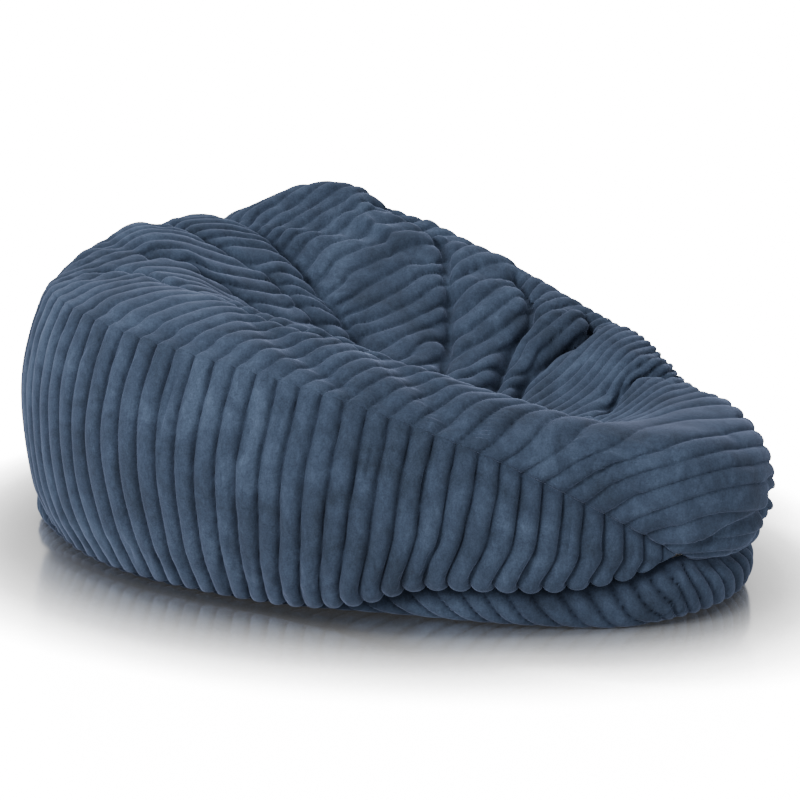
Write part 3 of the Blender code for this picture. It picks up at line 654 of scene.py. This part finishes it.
def side_panel_points(seams, left, seam_count, seam_s):
    rows, columns = SIDE_GRID
    s, h = grid_of(even(rows, SIDE_START), crowded(columns, 0.09))
    points = side_points(s, h, left)
    front, rear, low, high = edge_distances(points)
    normal = grid_normals(points, CENTRE)
    inside = smooth_step(0.0, 0.05, np.minimum(low, high)) * smooth_step(0.0, 0.03, rear)
    swell = sum(unevenness(points, SIDE_ON, kind) for kind in SIDE_SWELLS)
    points = points + normal * (swell * inside)[..., None]
    points = settled("side", points, SIDE_CLOTH_CAP)
    normal = grid_normals(points, CENTRE)
    top_count = np.interp(s[:, 0], seam_s, seam_count)[:, None]
    count = top_count + RIBS * table(SIDE_SLANT, s) * (1.0 - h) ** SIDE_SLANT_POWER
    count = count + unevenness(points, SIDE_ON, SIDE_WANDER) * inside
    ribs = rib(count)
    height = SIDE_RIB_HEIGHT * (1.0 - 0.55 * smooth_step(0.88, 1.0, s)) * smooth_step(0.0, 0.10, s + 0.02)
    near = np.clip(np.minimum(low / SIDE_RIB_ENDS[0], high / SIDE_RIB_ENDS[1]), 0.0, 1.0)
    ends = np.sqrt(np.clip(1.0 - (1.0 - near) ** 2, 0.0, 1.0))
    move = normal * (height * (ribs * (0.25 + 0.75 * ends) - RIB_MIDDLE))[..., None]
    side = "left" if left else "right"
    top = read_normals(seams["top_" + side], seams["steps"], s[:, 0])[:, None, :]
    bottom = read_normals(seams["bottom_" + side], seams["steps"], s[:, 0])[:, None, :]
    move = toward_seam(move, top, SEAM_RIB_HEIGHT * rib(top_count) - SEAM_DEPTH, high, SEAM_REACH)
    move = toward_seam(move, bottom, -bottom_seam_depth(s), low, BOTTOM_SEAM_REACH)
    move[..., 2] -= LIP_SCALLOP * lip_shape(s, h) * ribs
    points = points + move
    points[..., 2] = np.maximum(points[..., 2], LOWEST_CLOTH)
    return points, ribs


def base_rib_count(points, from_edge):
    """Ribs counted along the outline of the base, from the middle of its front round to its rear."""
    back = np.maximum(points[..., 1] - FRONT_CENTRE, 0.0)
    angle = np.arctan2(points[..., 0], np.maximum(FRONT_CENTRE - points[..., 1], 1e-6))
    outline = FRONT_RADIUS * angle + np.sign(points[..., 0]) * back
    lean = 2.0 * smooth_step(*SLANT_TURN, angle) - 1.0
    return (outline + BASE_SLANT * lean * np.minimum(from_edge, BASE_SLANT_REACH)) / BASE_PITCH


def base_panel_points(seams):
    rows, columns = BASE_GRID
    s, t = grid_of(even(rows), 2.0 * crowded(columns, 0.10) - 1.0)
    points = base_surface(s, t)
    from_nose, from_zip, from_right, from_left = edge_distances(points)
    normal = grid_normals(points, CENTRE)
    count = base_rib_count(points, np.minimum(np.minimum(from_right, from_left), from_nose))
    count = count + unevenness(points, PLAN, BASE_WANDER)
    ribs = rib(count)
    lifted = smooth_step(0.0, 0.02, points[..., 2])
    full = FLAT_BASE_RIBS + (1.0 - FLAT_BASE_RIBS) * lifted
    move = normal * (BASE_RIB_HEIGHT * (ribs - RIB_MIDDLE) * full)[..., None]
    for name, distance in (("bottom_right", from_right), ("bottom_left", from_left)):
        along_seam = read_normals(seams[name], seams["steps"], s[:, 0])[:, None, :]
        move = toward_seam(move, along_seam, -bottom_seam_depth(s), distance, BOTTOM_SEAM_REACH)
    nose = read_normals(seams["nose"], seams["nose_steps"], t[0])[None, :, :]
    move = toward_seam(move, nose, np.full(s.shape, -NOSE_SEAM_DEPTH), from_nose, NOSE_SEAM_REACH)
    points = points + move
    points[..., 2] = np.maximum(points[..., 2], LOWEST_CLOTH)
    # Painted shadow: the grid for the material's shade is taken down towards the side seams, for the dark gap
    # under the sides' lower edges.
    return points, ribs * smooth_step(-0.004, 0.030, np.minimum(from_right, from_left))


def back_panel_points():
    rows, columns = BACK_GRID
    h, t = grid_of(even(rows), even(columns, -1.0))
    points = back_surface(h, t, back_edge(h[:, 0]))
    low, high, right, left = edge_distances(points)
    normal = grid_normals(points, CENTRE)
    inside = smooth_step(0.0, 0.04, np.minimum(np.minimum(low, high), np.minimum(left, right)))
    points = points + normal * (unevenness(points, BEHIND, BACK_SWELL) * inside)[..., None]
    points = settled("back", points, BACK_CLOTH_CAP)
    normal = grid_normals(points, CENTRE)
    ribs = rib(low / BACK_PITCH + unevenness(points, BEHIND, BACK_WANDER))
    height = BACK_RIB_HEIGHT * (ribs - RIB_MIDDLE) * inside
    move = (normal + BACK_RIB_LEAN * droop(normal)) * height[..., None]
    return points + move, ribs


# Cloth simulation


def settled(name, points, cap):
    """Where a panel comes to rest when the beads press on it from inside and its edges stay in their seams.

    It runs on a coarse copy of the panel. The folds are kept, and little of the whole panel's swelling.
    """
    rows, columns = points.shape[:2]
    at_rows = np.unique(np.round(np.linspace(0, rows - 1, rows // CLOTH_STEP)).astype(int))
    at_columns = np.unique(np.round(np.linspace(0, columns - 1, columns // CLOTH_STEP)).astype(int))
    coarse = points[np.ix_(at_rows, at_columns)]
    index = np.arange(coarse[..., 0].size).reshape(coarse.shape[:2])
    piece = add_faces(name + "_at_work", coarse.reshape(-1, 3), outward_quads(coarse))
    held = piece.vertex_groups.new(name="held")
    held.add([int(i) for i in np.r_[index[0], index[-1], index[:, 0], index[:, -1]]], 1.0, "REPLACE")
    modifier = piece.modifiers.new("cloth", "CLOTH")
    cloth = modifier.settings
    cloth.vertex_group_mass = "held"
    cloth.use_pressure = True
    cloth.uniform_pressure_force = CLOTH_PRESSURE
    cloth.shrink_min = -CLOTH_SLACK
    cloth.effector_weights.gravity = 0.0
    cloth.quality = CLOTH_QUALITY
    cloth.tension_stiffness = CLOTH_STIFFNESS
    cloth.compression_stiffness = CLOTH_STIFFNESS
    cloth.bending_stiffness = CLOTH_BENDING
    cloth.air_damping = CLOTH_AIR_DAMPING
    scene = bpy.context.scene
    modifier.point_cache.frame_start = 1
    modifier.point_cache.frame_end = CLOTH_FRAMES
    for frame_number in range(1, CLOTH_FRAMES + 1):
        scene.frame_set(frame_number)
    evaluated = piece.evaluated_get(bpy.context.evaluated_depsgraph_get())
    found = np.empty(coarse.size, np.float32)
    evaluated.data.vertices.foreach_get("co", found)
    shift = found.reshape(coarse.shape).astype(float) - coarse
    mesh = piece.data
    bpy.data.objects.remove(piece, do_unlink=True)
    bpy.data.meshes.remove(mesh)
    scene.frame_set(1)
    shift = shift - (1.0 - CLOTH_SWELL_KEPT) * smoothed(shift, CLOTH_SMOOTHING)
    length = np.linalg.norm(shift, axis=-1, keepdims=True)
    shift = shift * cap * np.tanh(length / cap) / np.maximum(length, 1e-9)
    fine = smooth_through(at_rows, shift.reshape(len(at_rows), -1), np.arange(rows))
    fine = fine.reshape(rows, len(at_columns), 3).swapaxes(0, 1).reshape(len(at_columns), -1)
    fine = smooth_through(at_columns, fine, np.arange(columns)).reshape(columns, rows, 3)
    free = smooth_step(0.0, CLOTH_EDGE, np.min(edge_distances(points), axis=0))
    return points + fine.swapaxes(0, 1) * free[..., None]


def smoothed(values, rounds):
    for _ in range(rounds):
        padded = np.pad(values, ((1, 1), (1, 1), (0, 0)), mode="edge")
        around = padded[:-2, 1:-1] + padded[2:, 1:-1] + padded[1:-1, :-2] + padded[1:-1, 2:]
        values = 0.5 * values + 0.125 * around
    return values


# The bag of liner cloth and the beads in it


def core_surface(inset):
    """One closed surface inside the cover, drawn in by one distance: its points, faces and back grid."""
    rows, columns = LINER_GRID
    s, t = grid_of(even(rows), even(columns, -1.0))
    seat = seat_surface(s, t)
    swell, pucker, _, _ = seat_swell(seat, s, t)
    lowest = widened(widened(np.minimum(swell, 0.0))) - CORE_BELOW_CREASES * pucker
    seat = seat + grid_normals(seat, CENTRE) * lowest[..., None]
    base = base_surface(s, t)
    s, h = grid_of(even(rows), LINER_LEVELS)
    left, right = side_surface(s, h, LEFT_SETTLING), mirrored(side_surface(s, h))
    h, t = grid_of(LINER_LEVELS, even(columns, -1.0))
    patches = (seat, base, left, right, back_surface(h, t, left[-1]))
    stacked = np.concatenate([grid.reshape(-1, 3) for grid in patches])
    _, first, inverse = np.unique(np.round(stacked, 6), axis=0, return_index=True, return_inverse=True)
    points = stacked[first]
    inverse = inverse.reshape(-1)
    faces = []
    start = 0
    for grid in patches:
        index = inverse[start : start + grid[..., 0].size].reshape(grid.shape[:2])
        start += grid[..., 0].size
        one = np.stack([index[:-1, :-1], index[1:, :-1], index[1:, 1:]], axis=-1).reshape(-1, 3)
        two = np.stack([index[:-1, :-1], index[1:, 1:], index[:-1, 1:]], axis=-1).reshape(-1, 3)
        patch_faces = np.concatenate([one, two])
        corners = points[patch_faces]
        normal = np.cross(corners[:, 1] - corners[:, 0], corners[:, 2] - corners[:, 0])
        outward = np.einsum("ij,ij->i", normal, corners.mean(axis=1) - CENTRE).sum()
        faces.append(patch_faces if outward > 0.0 else patch_faces[:, ::-1])
    faces = np.concatenate(faces)
    whole = (faces[:, 0] != faces[:, 1]) & (faces[:, 1] != faces[:, 2]) & (faces[:, 2] != faces[:, 0])
    faces = faces[whole]
    normal = surface_normals(points, faces)
    return points - normal * inset, faces, index


def widened(values):
    """Spreads the hollows of a grid by one cell all round."""
    padded = np.pad(values, 1, mode="edge")
    down = np.minimum(np.minimum(padded[:-2], padded[1:-1]), padded[2:])
    return np.minimum(np.minimum(down[:, :-2], down[:, 1:-1]), down[:, 2:])


def surface_normals(points, faces):
    corners = points[faces]
    normal = np.cross(corners[:, 1] - corners[:, 0], corners[:, 2] - corners[:, 0])
    total = np.zeros_like(points)
    for corner in range(3):
        np.add.at(total, faces[:, corner], normal)
    return unit(total)


# From grids to pieces


def trimmed(points, ribs, gap):
    """A panel cut back at its last row, by a distance along the cloth, for the zip."""
    _, to_last, _, _ = edge_distances(points)
    length = to_last[0]
    rows = points.shape[0]
    cut_points, cut_ribs = np.empty_like(points), np.empty_like(ribs)
    for column in range(points.shape[1]):
        have = length[column] - to_last[:, column]
        want = np.linspace(0.0, length[column] - gap, rows)
        cut_ribs[:, column] = np.interp(want, have, ribs[:, column])
        for axis in range(3):
            cut_points[:, column, axis] = np.interp(want, have, points[:, column, axis])
    return cut_points, cut_ribs


def with_allowance(points, ribs):
    """Adds the strip of cloth that turns in behind the seams, all round a panel."""
    inward = -grid_normals(points, CENTRE) * SEAM_ALLOWANCE
    points = np.concatenate([(points + inward)[:1], points, (points + inward)[-1:]])
    inward = np.concatenate([inward[:1] * 0.0, inward, inward[-1:] * 0.0])
    points = np.concatenate([(points + inward)[:, :1], points, (points + inward)[:, -1:]], axis=1)
    points[..., 2] = np.maximum(points[..., 2], LOWEST_CLOTH)
    return points, np.pad(ribs, 1)


def grid_quads(rows, columns):
    """The corners of each face of a grid, row by row."""
    index = np.arange(rows * columns).reshape(rows, columns)
    return np.stack([index[:-1, :-1], index[1:, :-1], index[1:, 1:], index[:-1, 1:]], axis=-1)


def outward_quads(points):
    """The faces of a grid of points, turned so that they look away from the middle of the bag."""
    quads = grid_quads(*points.shape[:2])
    corners = points.reshape(-1, 3)[quads[quads.shape[0] // 2, quads.shape[1] // 2]]
    normal = np.cross(corners[1] - corners[0], corners[2] - corners[0])
    quads = quads.reshape(-1, 4)
    return quads if np.dot(normal, corners[0] - CENTRE) > 0.0 else quads[:, ::-1]


def add_object(name, data):
    made = bpy.data.objects.new(name, data)
    bpy.context.scene.collection.objects.link(made)
    return made


def add_faces(name, points, faces, material=None, smooth=True):
    """A mesh of triangles or of quads."""
    sides = faces.shape[1]
    mesh = bpy.data.meshes.new(name)
    mesh.vertices.add(len(points))
    mesh.vertices.foreach_set("co", points.astype(np.float32).ravel())
    mesh.loops.add(faces.size)
    mesh.loops.foreach_set("vertex_index", np.ascontiguousarray(faces, np.int32).ravel())
    mesh.polygons.add(len(faces))
    mesh.polygons.foreach_set("loop_start", np.arange(0, faces.size, sides, dtype=np.int32))
    mesh.update(calc_edges=True)
    mesh.polygons.foreach_set("use_smooth", np.full(len(faces), smooth))
    if material:
        mesh.materials.append(material)
    return add_object(name, mesh)


def stand_for(piece, node):
    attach(piece, "bag")
    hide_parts(node)


def add_panel(name, points, ribs, node, material):
    """A cover panel, with its attribute "crest" for the material's painted shade: 0 in a groove, 1 on a rib,
    and low too near the base's side seams, where it paints a shadow.
    """
    points, ribs = with_allowance(points, ribs)
    piece = add_faces(name, points.reshape(-1, 3), outward_quads(points), material)
    crest = piece.data.attributes.new("crest", "FLOAT", "POINT")
    crest.data.foreach_set("value", ribs.astype(np.float32).ravel())
    stand_for(piece, node)


def add_liner(material):
    """The thin woven bag that holds the beads. Its slot is behind the liner's zip."""
    points, faces, back = core_surface(LINER_INSET)
    slot = open_slot(points, back, LINER_SLOT_Y)
    faces = faces[~np.isin(faces, slot).all(axis=1)]
    piece = add_faces("liner_bag", points, faces, material)
    wall = piece.modifiers.new("cloth", "SOLIDIFY")
    wall.thickness = LINER_CLOTH
    wall.offset = -1.0
    stand_for(piece, "inner_liner")


def add_beads(material):
    points, faces, back = core_surface(BEADS_INSET)
    open_slot(points, back, LINER_SLOT_Y - BEADS_BEHIND_SLOT)
    piece = add_faces("bead_mass", points, faces, material)
    stand_for(piece, "bead_fill")


def open_slot(points, back, y):
    """Flattens the surface round the liner's slot, and draws it in behind the cover's zip."""
    points[back[0], 1] -= ZIP_ROOM
    low = SLOT_LEVEL
    across = np.abs(np.linspace(-1.0, 1.0, back.shape[1])) < SLOT_REACH
    for level, height in zip((low, low + 1), LINER_SLOT_Z):
        points[back[level, across], 1] = y
        points[back[level, across], 2] = height
    return back[low : low + 2, across].reshape(-1)


def add_teeth(node, upper, material):
    """A row of moulded teeth, each wider at its head, in the room of the plain bar of the frame."""
    low, high = (np.array(corner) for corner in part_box(node))
    count = int((high[0] - low[0]) / TOOTH_PITCH)
    places = low[0] + (np.arange(count) + 0.5 + (0.0 if upper else 0.25)) * TOOTH_PITCH
    root, head = (high[2], low[2]) if upper else (low[2], high[2])
    neck = root + (head - root) * 0.55
    shape = ((root, 0.30, 1.0), (neck, 0.22, 0.8), (neck + (head - neck) * 0.3, 0.36, 1.0), (head, 0.26, 0.7))
    middle, half = 0.5 * (low[1] + high[1]), 0.5 * (high[1] - low[1])
    points, faces = [], []
    for place in places:
        start = len(points)
        for z, wide, deep in shape:
            for across, out in ((-1, -1), (1, -1), (1, 1), (-1, 1)):
                points.append((place + across * wide * TOOTH_PITCH, middle + out * deep * half, z))
        for ring in range(len(shape) - 1):
            a = start + 4 * ring
            faces += [(a + i, a + (i + 1) % 4, a + 4 + (i + 1) % 4, a + 4 + i) for i in range(4)]
        last = start + 4 * (len(shape) - 1)
        faces += [(start + 3, start + 2, start + 1, start), (last, last + 1, last + 2, last + 3)]
    faces = np.array(faces)[:, ::-1] if upper else np.array(faces)
    piece = add_faces(node + "_row", np.array(points), faces, material, smooth=False)
    stand_for(piece, node)


def add_label(material):
    """The care label: a strip of cloth folded in two, a little curled, with both its ends in the seam."""
    low, high = (np.array(corner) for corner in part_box("care_label"))
    across, up = grid_of(even(40, 0.0, 2.0), even(17))
    out = np.minimum(across, 2.0 - across)
    ply = np.cos(math.pi * smooth_step(0.94, 1.06, across))
    curl = LABEL_CURL * out**2 * (0.4 + np.sin(2.4 * up + 0.6)) + 0.5 * LABEL_PLY_GAP * ply
    line = low[:2] + (high[:2] - low[:2]) * (0.04 + LABEL_REACH * out[..., None])
    turn = np.array((1.0, -1.0)) / math.sqrt(2.0)
    height = low[2] + (high[2] - low[2]) * (0.02 + LABEL_WIDTH * up)
    points = np.concatenate([line + turn * curl[..., None], height[..., None]], axis=-1)
    quads = grid_quads(*across.shape).reshape(-1, 4)
    piece = add_faces("care_label_cloth", points.reshape(-1, 3), quads, material)
    weave = piece.modifiers.new("weave", "SOLIDIFY")
    weave.thickness = LABEL_CLOTH
    weave.offset = 0.0
    stand_for(piece, "care_label")


# Materials


def grey(value):
    return (value,) * 3


def connect(tree, node, inputs):
    """Gives each of these inputs of a node its value, or the output of another node."""
    for name, value in inputs.items():
        if isinstance(value, bpy.types.NodeSocket):
            tree.links.new(value, node.inputs[name])
        else:
            node.inputs[name].default_value = value


def add_node(tree, kind, inputs, **settings):
    made = tree.nodes.new("ShaderNode" + kind)
    for name, value in settings.items():
        setattr(made, name, value)
    connect(tree, made, inputs)
    return made


def ramp(tree, factor, stops):
    made = add_node(tree, "ValToRGB", {"Fac": factor})
    elements = made.color_ramp.elements
    while len(elements) < len(stops):
        elements.new(0.5)
    for element, (place, colour) in zip(elements, stops):
        element.position = place
        element.color = (*colour, 1.0)
    return made.outputs["Color"]


def stretched(tree, coordinates, scale):
    return add_node(tree, "Mapping", {"Scale": scale, "Vector": coordinates}).outputs["Vector"]


def noise(tree, coordinates, scale, detail=3.0, roughness=0.55, distortion=0.0):
    inputs = {"Scale": scale, "Detail": detail, "Roughness": roughness, "Distortion": distortion}
    return add_node(tree, "TexNoise", inputs | {"Vector": coordinates}).outputs["Fac"]


def waves(tree, coordinates, scale, direction):
    inputs = {"Scale": scale, "Distortion": 0.6, "Vector": coordinates}
    return add_node(tree, "TexWave", inputs, wave_type="BANDS", bands_direction=direction).outputs["Fac"]


def multiplied(tree, a, b, factor=1.0):
    inputs = {"Factor": factor, "A": a, "B": b}
    return add_node(tree, "Mix", inputs, data_type="RGBA", blend_type="MULTIPLY").outputs["Result"]


def new_material(name, inputs):
    """A material with these values on its shader's own sockets."""
    material = bpy.data.materials.new(name)
    material.use_nodes = True
    tree = material.node_tree
    shader = tree.nodes["Principled BSDF"]
    connect(tree, shader, inputs)
    coordinates = tree.nodes.new("ShaderNodeTexCoord").outputs["Object"]
    return material, tree, shader, coordinates


def finish_with(tree, shader, colour, height, strength, distance):
    """Joins a material's colour and its bump to its shader."""
    bump = add_node(tree, "Bump", {"Strength": strength, "Distance": distance, "Height": height})
    connect(tree, shader, {"Base Color": colour, "Normal": bump.outputs["Normal"]})


def plush():
    """Cord plush: brushed pile, paler where it lies towards the light, with painted shade dark down in the
    grooves, in the seat's creases and along the base's side seams.
    """
    sheen = {"Sheen Weight": 0.35, "Sheen Roughness": 0.40, "Sheen Tint": (0.50, 0.60, 0.92, 1.0)}
    inputs = {"Roughness": 0.92, "Specular IOR Level": 0.12}
    material, tree, shader, place = new_material("cord_plush", inputs | sheen)
    crest = add_node(tree, "Attribute", {}, attribute_name="crest").outputs["Fac"]
    brushed = noise(tree, place, 9.0, 6.0, 0.68, 0.6)
    patch = ramp(tree, brushed, ((0.34, PILE_DARK), (0.50, PILE_COLOUR), (0.66, PILE_LIGHT)))
    strokes = noise(tree, stretched(tree, place, (1.0, 1.0, 0.45)), 95.0, 3.0, 0.65, 0.8)
    stroke = ramp(tree, strokes, ((0.30, (0.78, 0.78, 0.79)), (0.52, grey(1.0)), (0.74, (1.30, 1.29, 1.27))))
    tufts = noise(tree, place, 420.0, 2.0, 0.7)
    fibre = ramp(tree, tufts, ((0.30, grey(0.66)), (0.70, grey(1.30))))
    # Painted shade and painted highlight: the crest attribute darkens the colour in the grooves and lifts it a
    # little on the crests.
    colour = multiplied(tree, patch, ramp(tree, crest, GROOVE_TO_CREST))
    colour = multiplied(tree, multiplied(tree, colour, stroke, 0.8), fibre, 0.6)
    finish_with(tree, shader, colour, tufts, 0.45, 0.0014)
    return material


def woven(name, colours, roughness, threads):
    """Plain-woven cloth: crossed threads over a faint mottle."""
    dark, light = colours
    material, tree, shader, place = new_material(name, {"Roughness": roughness})
    weave = multiplied(tree, waves(tree, place, threads, "X"), waves(tree, place, threads, "Z"))
    mottle = ramp(tree, noise(tree, place, 30.0), ((0.3, dark), (0.7, light)))
    shade = ramp(tree, weave, ((0.0, grey(0.72)), (0.6, grey(1.05))))
    finish_with(tree, shader, multiplied(tree, mottle, shade), weave, 0.5, 0.0003)
    return material


def bead_finish():
    """Foam beads pressed together: pale cells, with painted shade dimming towards their rims and dark in the
    gaps between them.
    """
    material, tree, shader, place = new_material("beads", {"Roughness": 0.6})
    gap = add_node(tree, "TexVoronoi", {"Scale": BEADS_PER_METRE, "Vector": place}).outputs["Distance"]
    shade = ramp(tree, gap, ((0.0, (0.93, 0.93, 0.92)), (0.55, (0.86, 0.86, 0.85)), (0.9, grey(0.50))))
    finish_with(tree, shader, shade, gap, -0.8, 0.002)
    return material


def grained(name, colours, roughness, scale, metallic=0.0):
    """A hard finish mottled between two colours, with fine scratches along its length."""
    dark, light = colours
    material, tree, shader, place = new_material(name, {"Roughness": roughness, "Metallic": metallic})
    grain = noise(tree, stretched(tree, place, (0.15, 1.0, 1.0)), scale, 4.0, 0.6)
    wear = ramp(tree, grain, ((0.3, grey(roughness * 0.8)), (0.7, grey(roughness * 1.25))))
    connect(tree, shader, {"Roughness": wear})
    finish_with(tree, shader, ramp(tree, grain, ((0.3, dark), (0.7, light))), grain, 0.2, 0.0003)
    return material


def dress(node, material):
    """Gives a piece of the frame its finish."""
    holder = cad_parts[node]
    holder.data.materials.clear()
    holder.data.materials.append(material)


# Floor, light and camera


def camera_sees(tree, seen, usual):
    """One shader for what the camera sees directly, and the usual one for all other light."""
    ray = add_node(tree, "LightPath", {}).outputs["Is Camera Ray"]
    return add_node(tree, "MixShader", {"Fac": ray, 1: usual, 2: seen}).outputs["Shader"]


def add_floor():
    """A white studio floor. The camera sees it bright, darkened by ambient occlusion near the bag as a painted
    contact shadow, and what lights the bag is an ordinary white.
    """
    corners = [(x * FLOOR_SIZE, y * FLOOR_SIZE, 0) for x, y in ((-1, -1), (1, -1), (1, 1), (-1, 1))]
    mesh = bpy.data.meshes.new("floor")
    mesh.from_pydata(corners, [], [(0, 1, 2, 3)])
    material, tree, shader, place = new_material("floor_white", {"Roughness": 0.6})
    white = ramp(tree, noise(tree, place, 3.0), ((0.2, grey(0.80)), (0.8, grey(0.82))))
    connect(tree, shader, {"Base Color": white})
    # Painted contact shadow: the camera's view of the floor dims with ambient occlusion where the bag stands
    # close.
    openness = add_node(tree, "AmbientOcclusion", {"Distance": FLOOR_SHADOW_REACH}, samples=24)
    shown = ramp(tree, openness.outputs["AO"], [(open_part, grey(glare)) for open_part, glare in FLOOR_SHADOW_AND_GLARE])
    lit = add_node(tree, "Emission", {"Color": shown}).outputs["Emission"]
    gloss = {"Color": (1.0, 1.0, 1.0, 1.0), "Roughness": FLOOR_MIRROR_ROUGHNESS}
    mirror = add_node(tree, "BsdfAnisotropic", gloss).outputs["BSDF"]
    both = add_node(tree, "AddShader", {0: lit, 1: mirror}).outputs["Shader"]
    output = next(node for node in tree.nodes if node.type == "OUTPUT_MATERIAL")
    connect(tree, output, {"Surface": camera_sees(tree, both, shader.outputs["BSDF"])})
    mesh.materials.append(material)
    add_object("floor", mesh)


def direction_from(azimuth, elevation):
    """Unit vector towards a viewer or a light at this azimuth and elevation, in degrees."""
    azimuth, elevation = math.radians(azimuth), math.radians(elevation)
    flat = math.cos(elevation)
    return np.array((math.sin(azimuth) * flat, -math.cos(azimuth) * flat, math.sin(elevation)))


def aim(holder, place, back):
    """Puts a camera or a light at a place, with its back turned this way."""
    z = Vector(back).normalized()
    x = Vector((0.0, 0.0, 1.0)).cross(z).normalized()
    y = z.cross(x)
    rows = [(x[i], y[i], z[i], place[i]) for i in range(3)]
    holder.matrix_world = Matrix(rows + [(0.0, 0.0, 0.0, 1.0)])


def add_light(name, azimuth, elevation, distance, size, power):
    light = bpy.data.lights.new(name, "AREA")
    light.shape = "DISK"
    light.size = size
    light.energy = power
    back = direction_from(azimuth, elevation)
    aim(add_object(name, light), np.array(LOOK_AT) + distance * back, back)


def add_room():
    """White light from all round, which the camera sees as a pure white backdrop, and the lamps."""
    scene = bpy.context.scene
    scene.world = scene.world or bpy.data.worlds.new("studio")
    scene.world.use_nodes = True
    tree = scene.world.node_tree
    usual = tree.nodes["Background"]
    connect(tree, usual, {"Color": (1.0, 1.0, 1.0, 1.0), "Strength": WORLD_STRENGTH})
    seen = add_node(tree, "Background", {"Strength": BACKDROP_GLARE}).outputs["Background"]
    both = camera_sees(tree, seen, usual.outputs["Background"])
    connect(tree, tree.nodes["World Output"], {"Surface": both})
    for light in LIGHTS:
        add_light(*light)


def add_camera():
    camera = bpy.data.cameras.new("camera")
    camera.sensor_width = 36.0
    camera.lens = CAMERA_LENS
    holder = add_object("camera", camera)
    back = direction_from(*CAMERA_VIEW)
    aim(holder, np.array(LOOK_AT) + CAMERA_DISTANCE * back, back)
    bpy.context.scene.camera = holder


def main():
    seams = seam_normals()
    cloth = plush()
    points, ribs, left_count, seam_s = seat_panel_points(seams)
    add_panel("seat_cloth", points, ribs, "seat_panel", cloth)
    for left, side, seam_count in ((True, "left", left_count), (False, "right", RIBS * seam_s)):
        points, ribs = side_panel_points(seams, left, seam_count, seam_s)
        add_panel(f"side_cloth_{side}", points, ribs, f"side_panel_{side}", cloth)
    points, ribs = trimmed(*base_panel_points(seams), ZIP_GAP)
    add_panel("base_cloth", points, ribs, "base_panel", cloth)
    points, ribs = back_panel_points()
    points, ribs = trimmed(points[::-1], ribs[::-1], ZIP_GAP)
    add_panel("back_cloth", points, ribs, "back_panel", cloth)
    add_liner(woven("liner_weave", LINER_COLOURS, roughness=0.85, threads=700.0))
    add_beads(bead_finish())
    add_label(woven("label_weave", LABEL_COLOURS, roughness=0.8, threads=1500.0))
    tape = woven("zip_tape", TAPE_COLOURS, roughness=0.85, threads=900.0)
    teeth = grained("zip_teeth", TEETH_COLOURS, roughness=0.45, scale=300.0)
    metal = grained("zip_metal", METAL_COLOURS, roughness=0.30, scale=900.0, metallic=1.0)
    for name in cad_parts:
        if "tape" in name:
            dress(name, tape)
        elif "teeth" in name:
            add_teeth(name, "upper" in name, teeth)
        elif "stop" in name or "slider" in name or "pull" in name:
            dress(name, metal)
    add_floor()
    add_room()
    add_camera()


main()
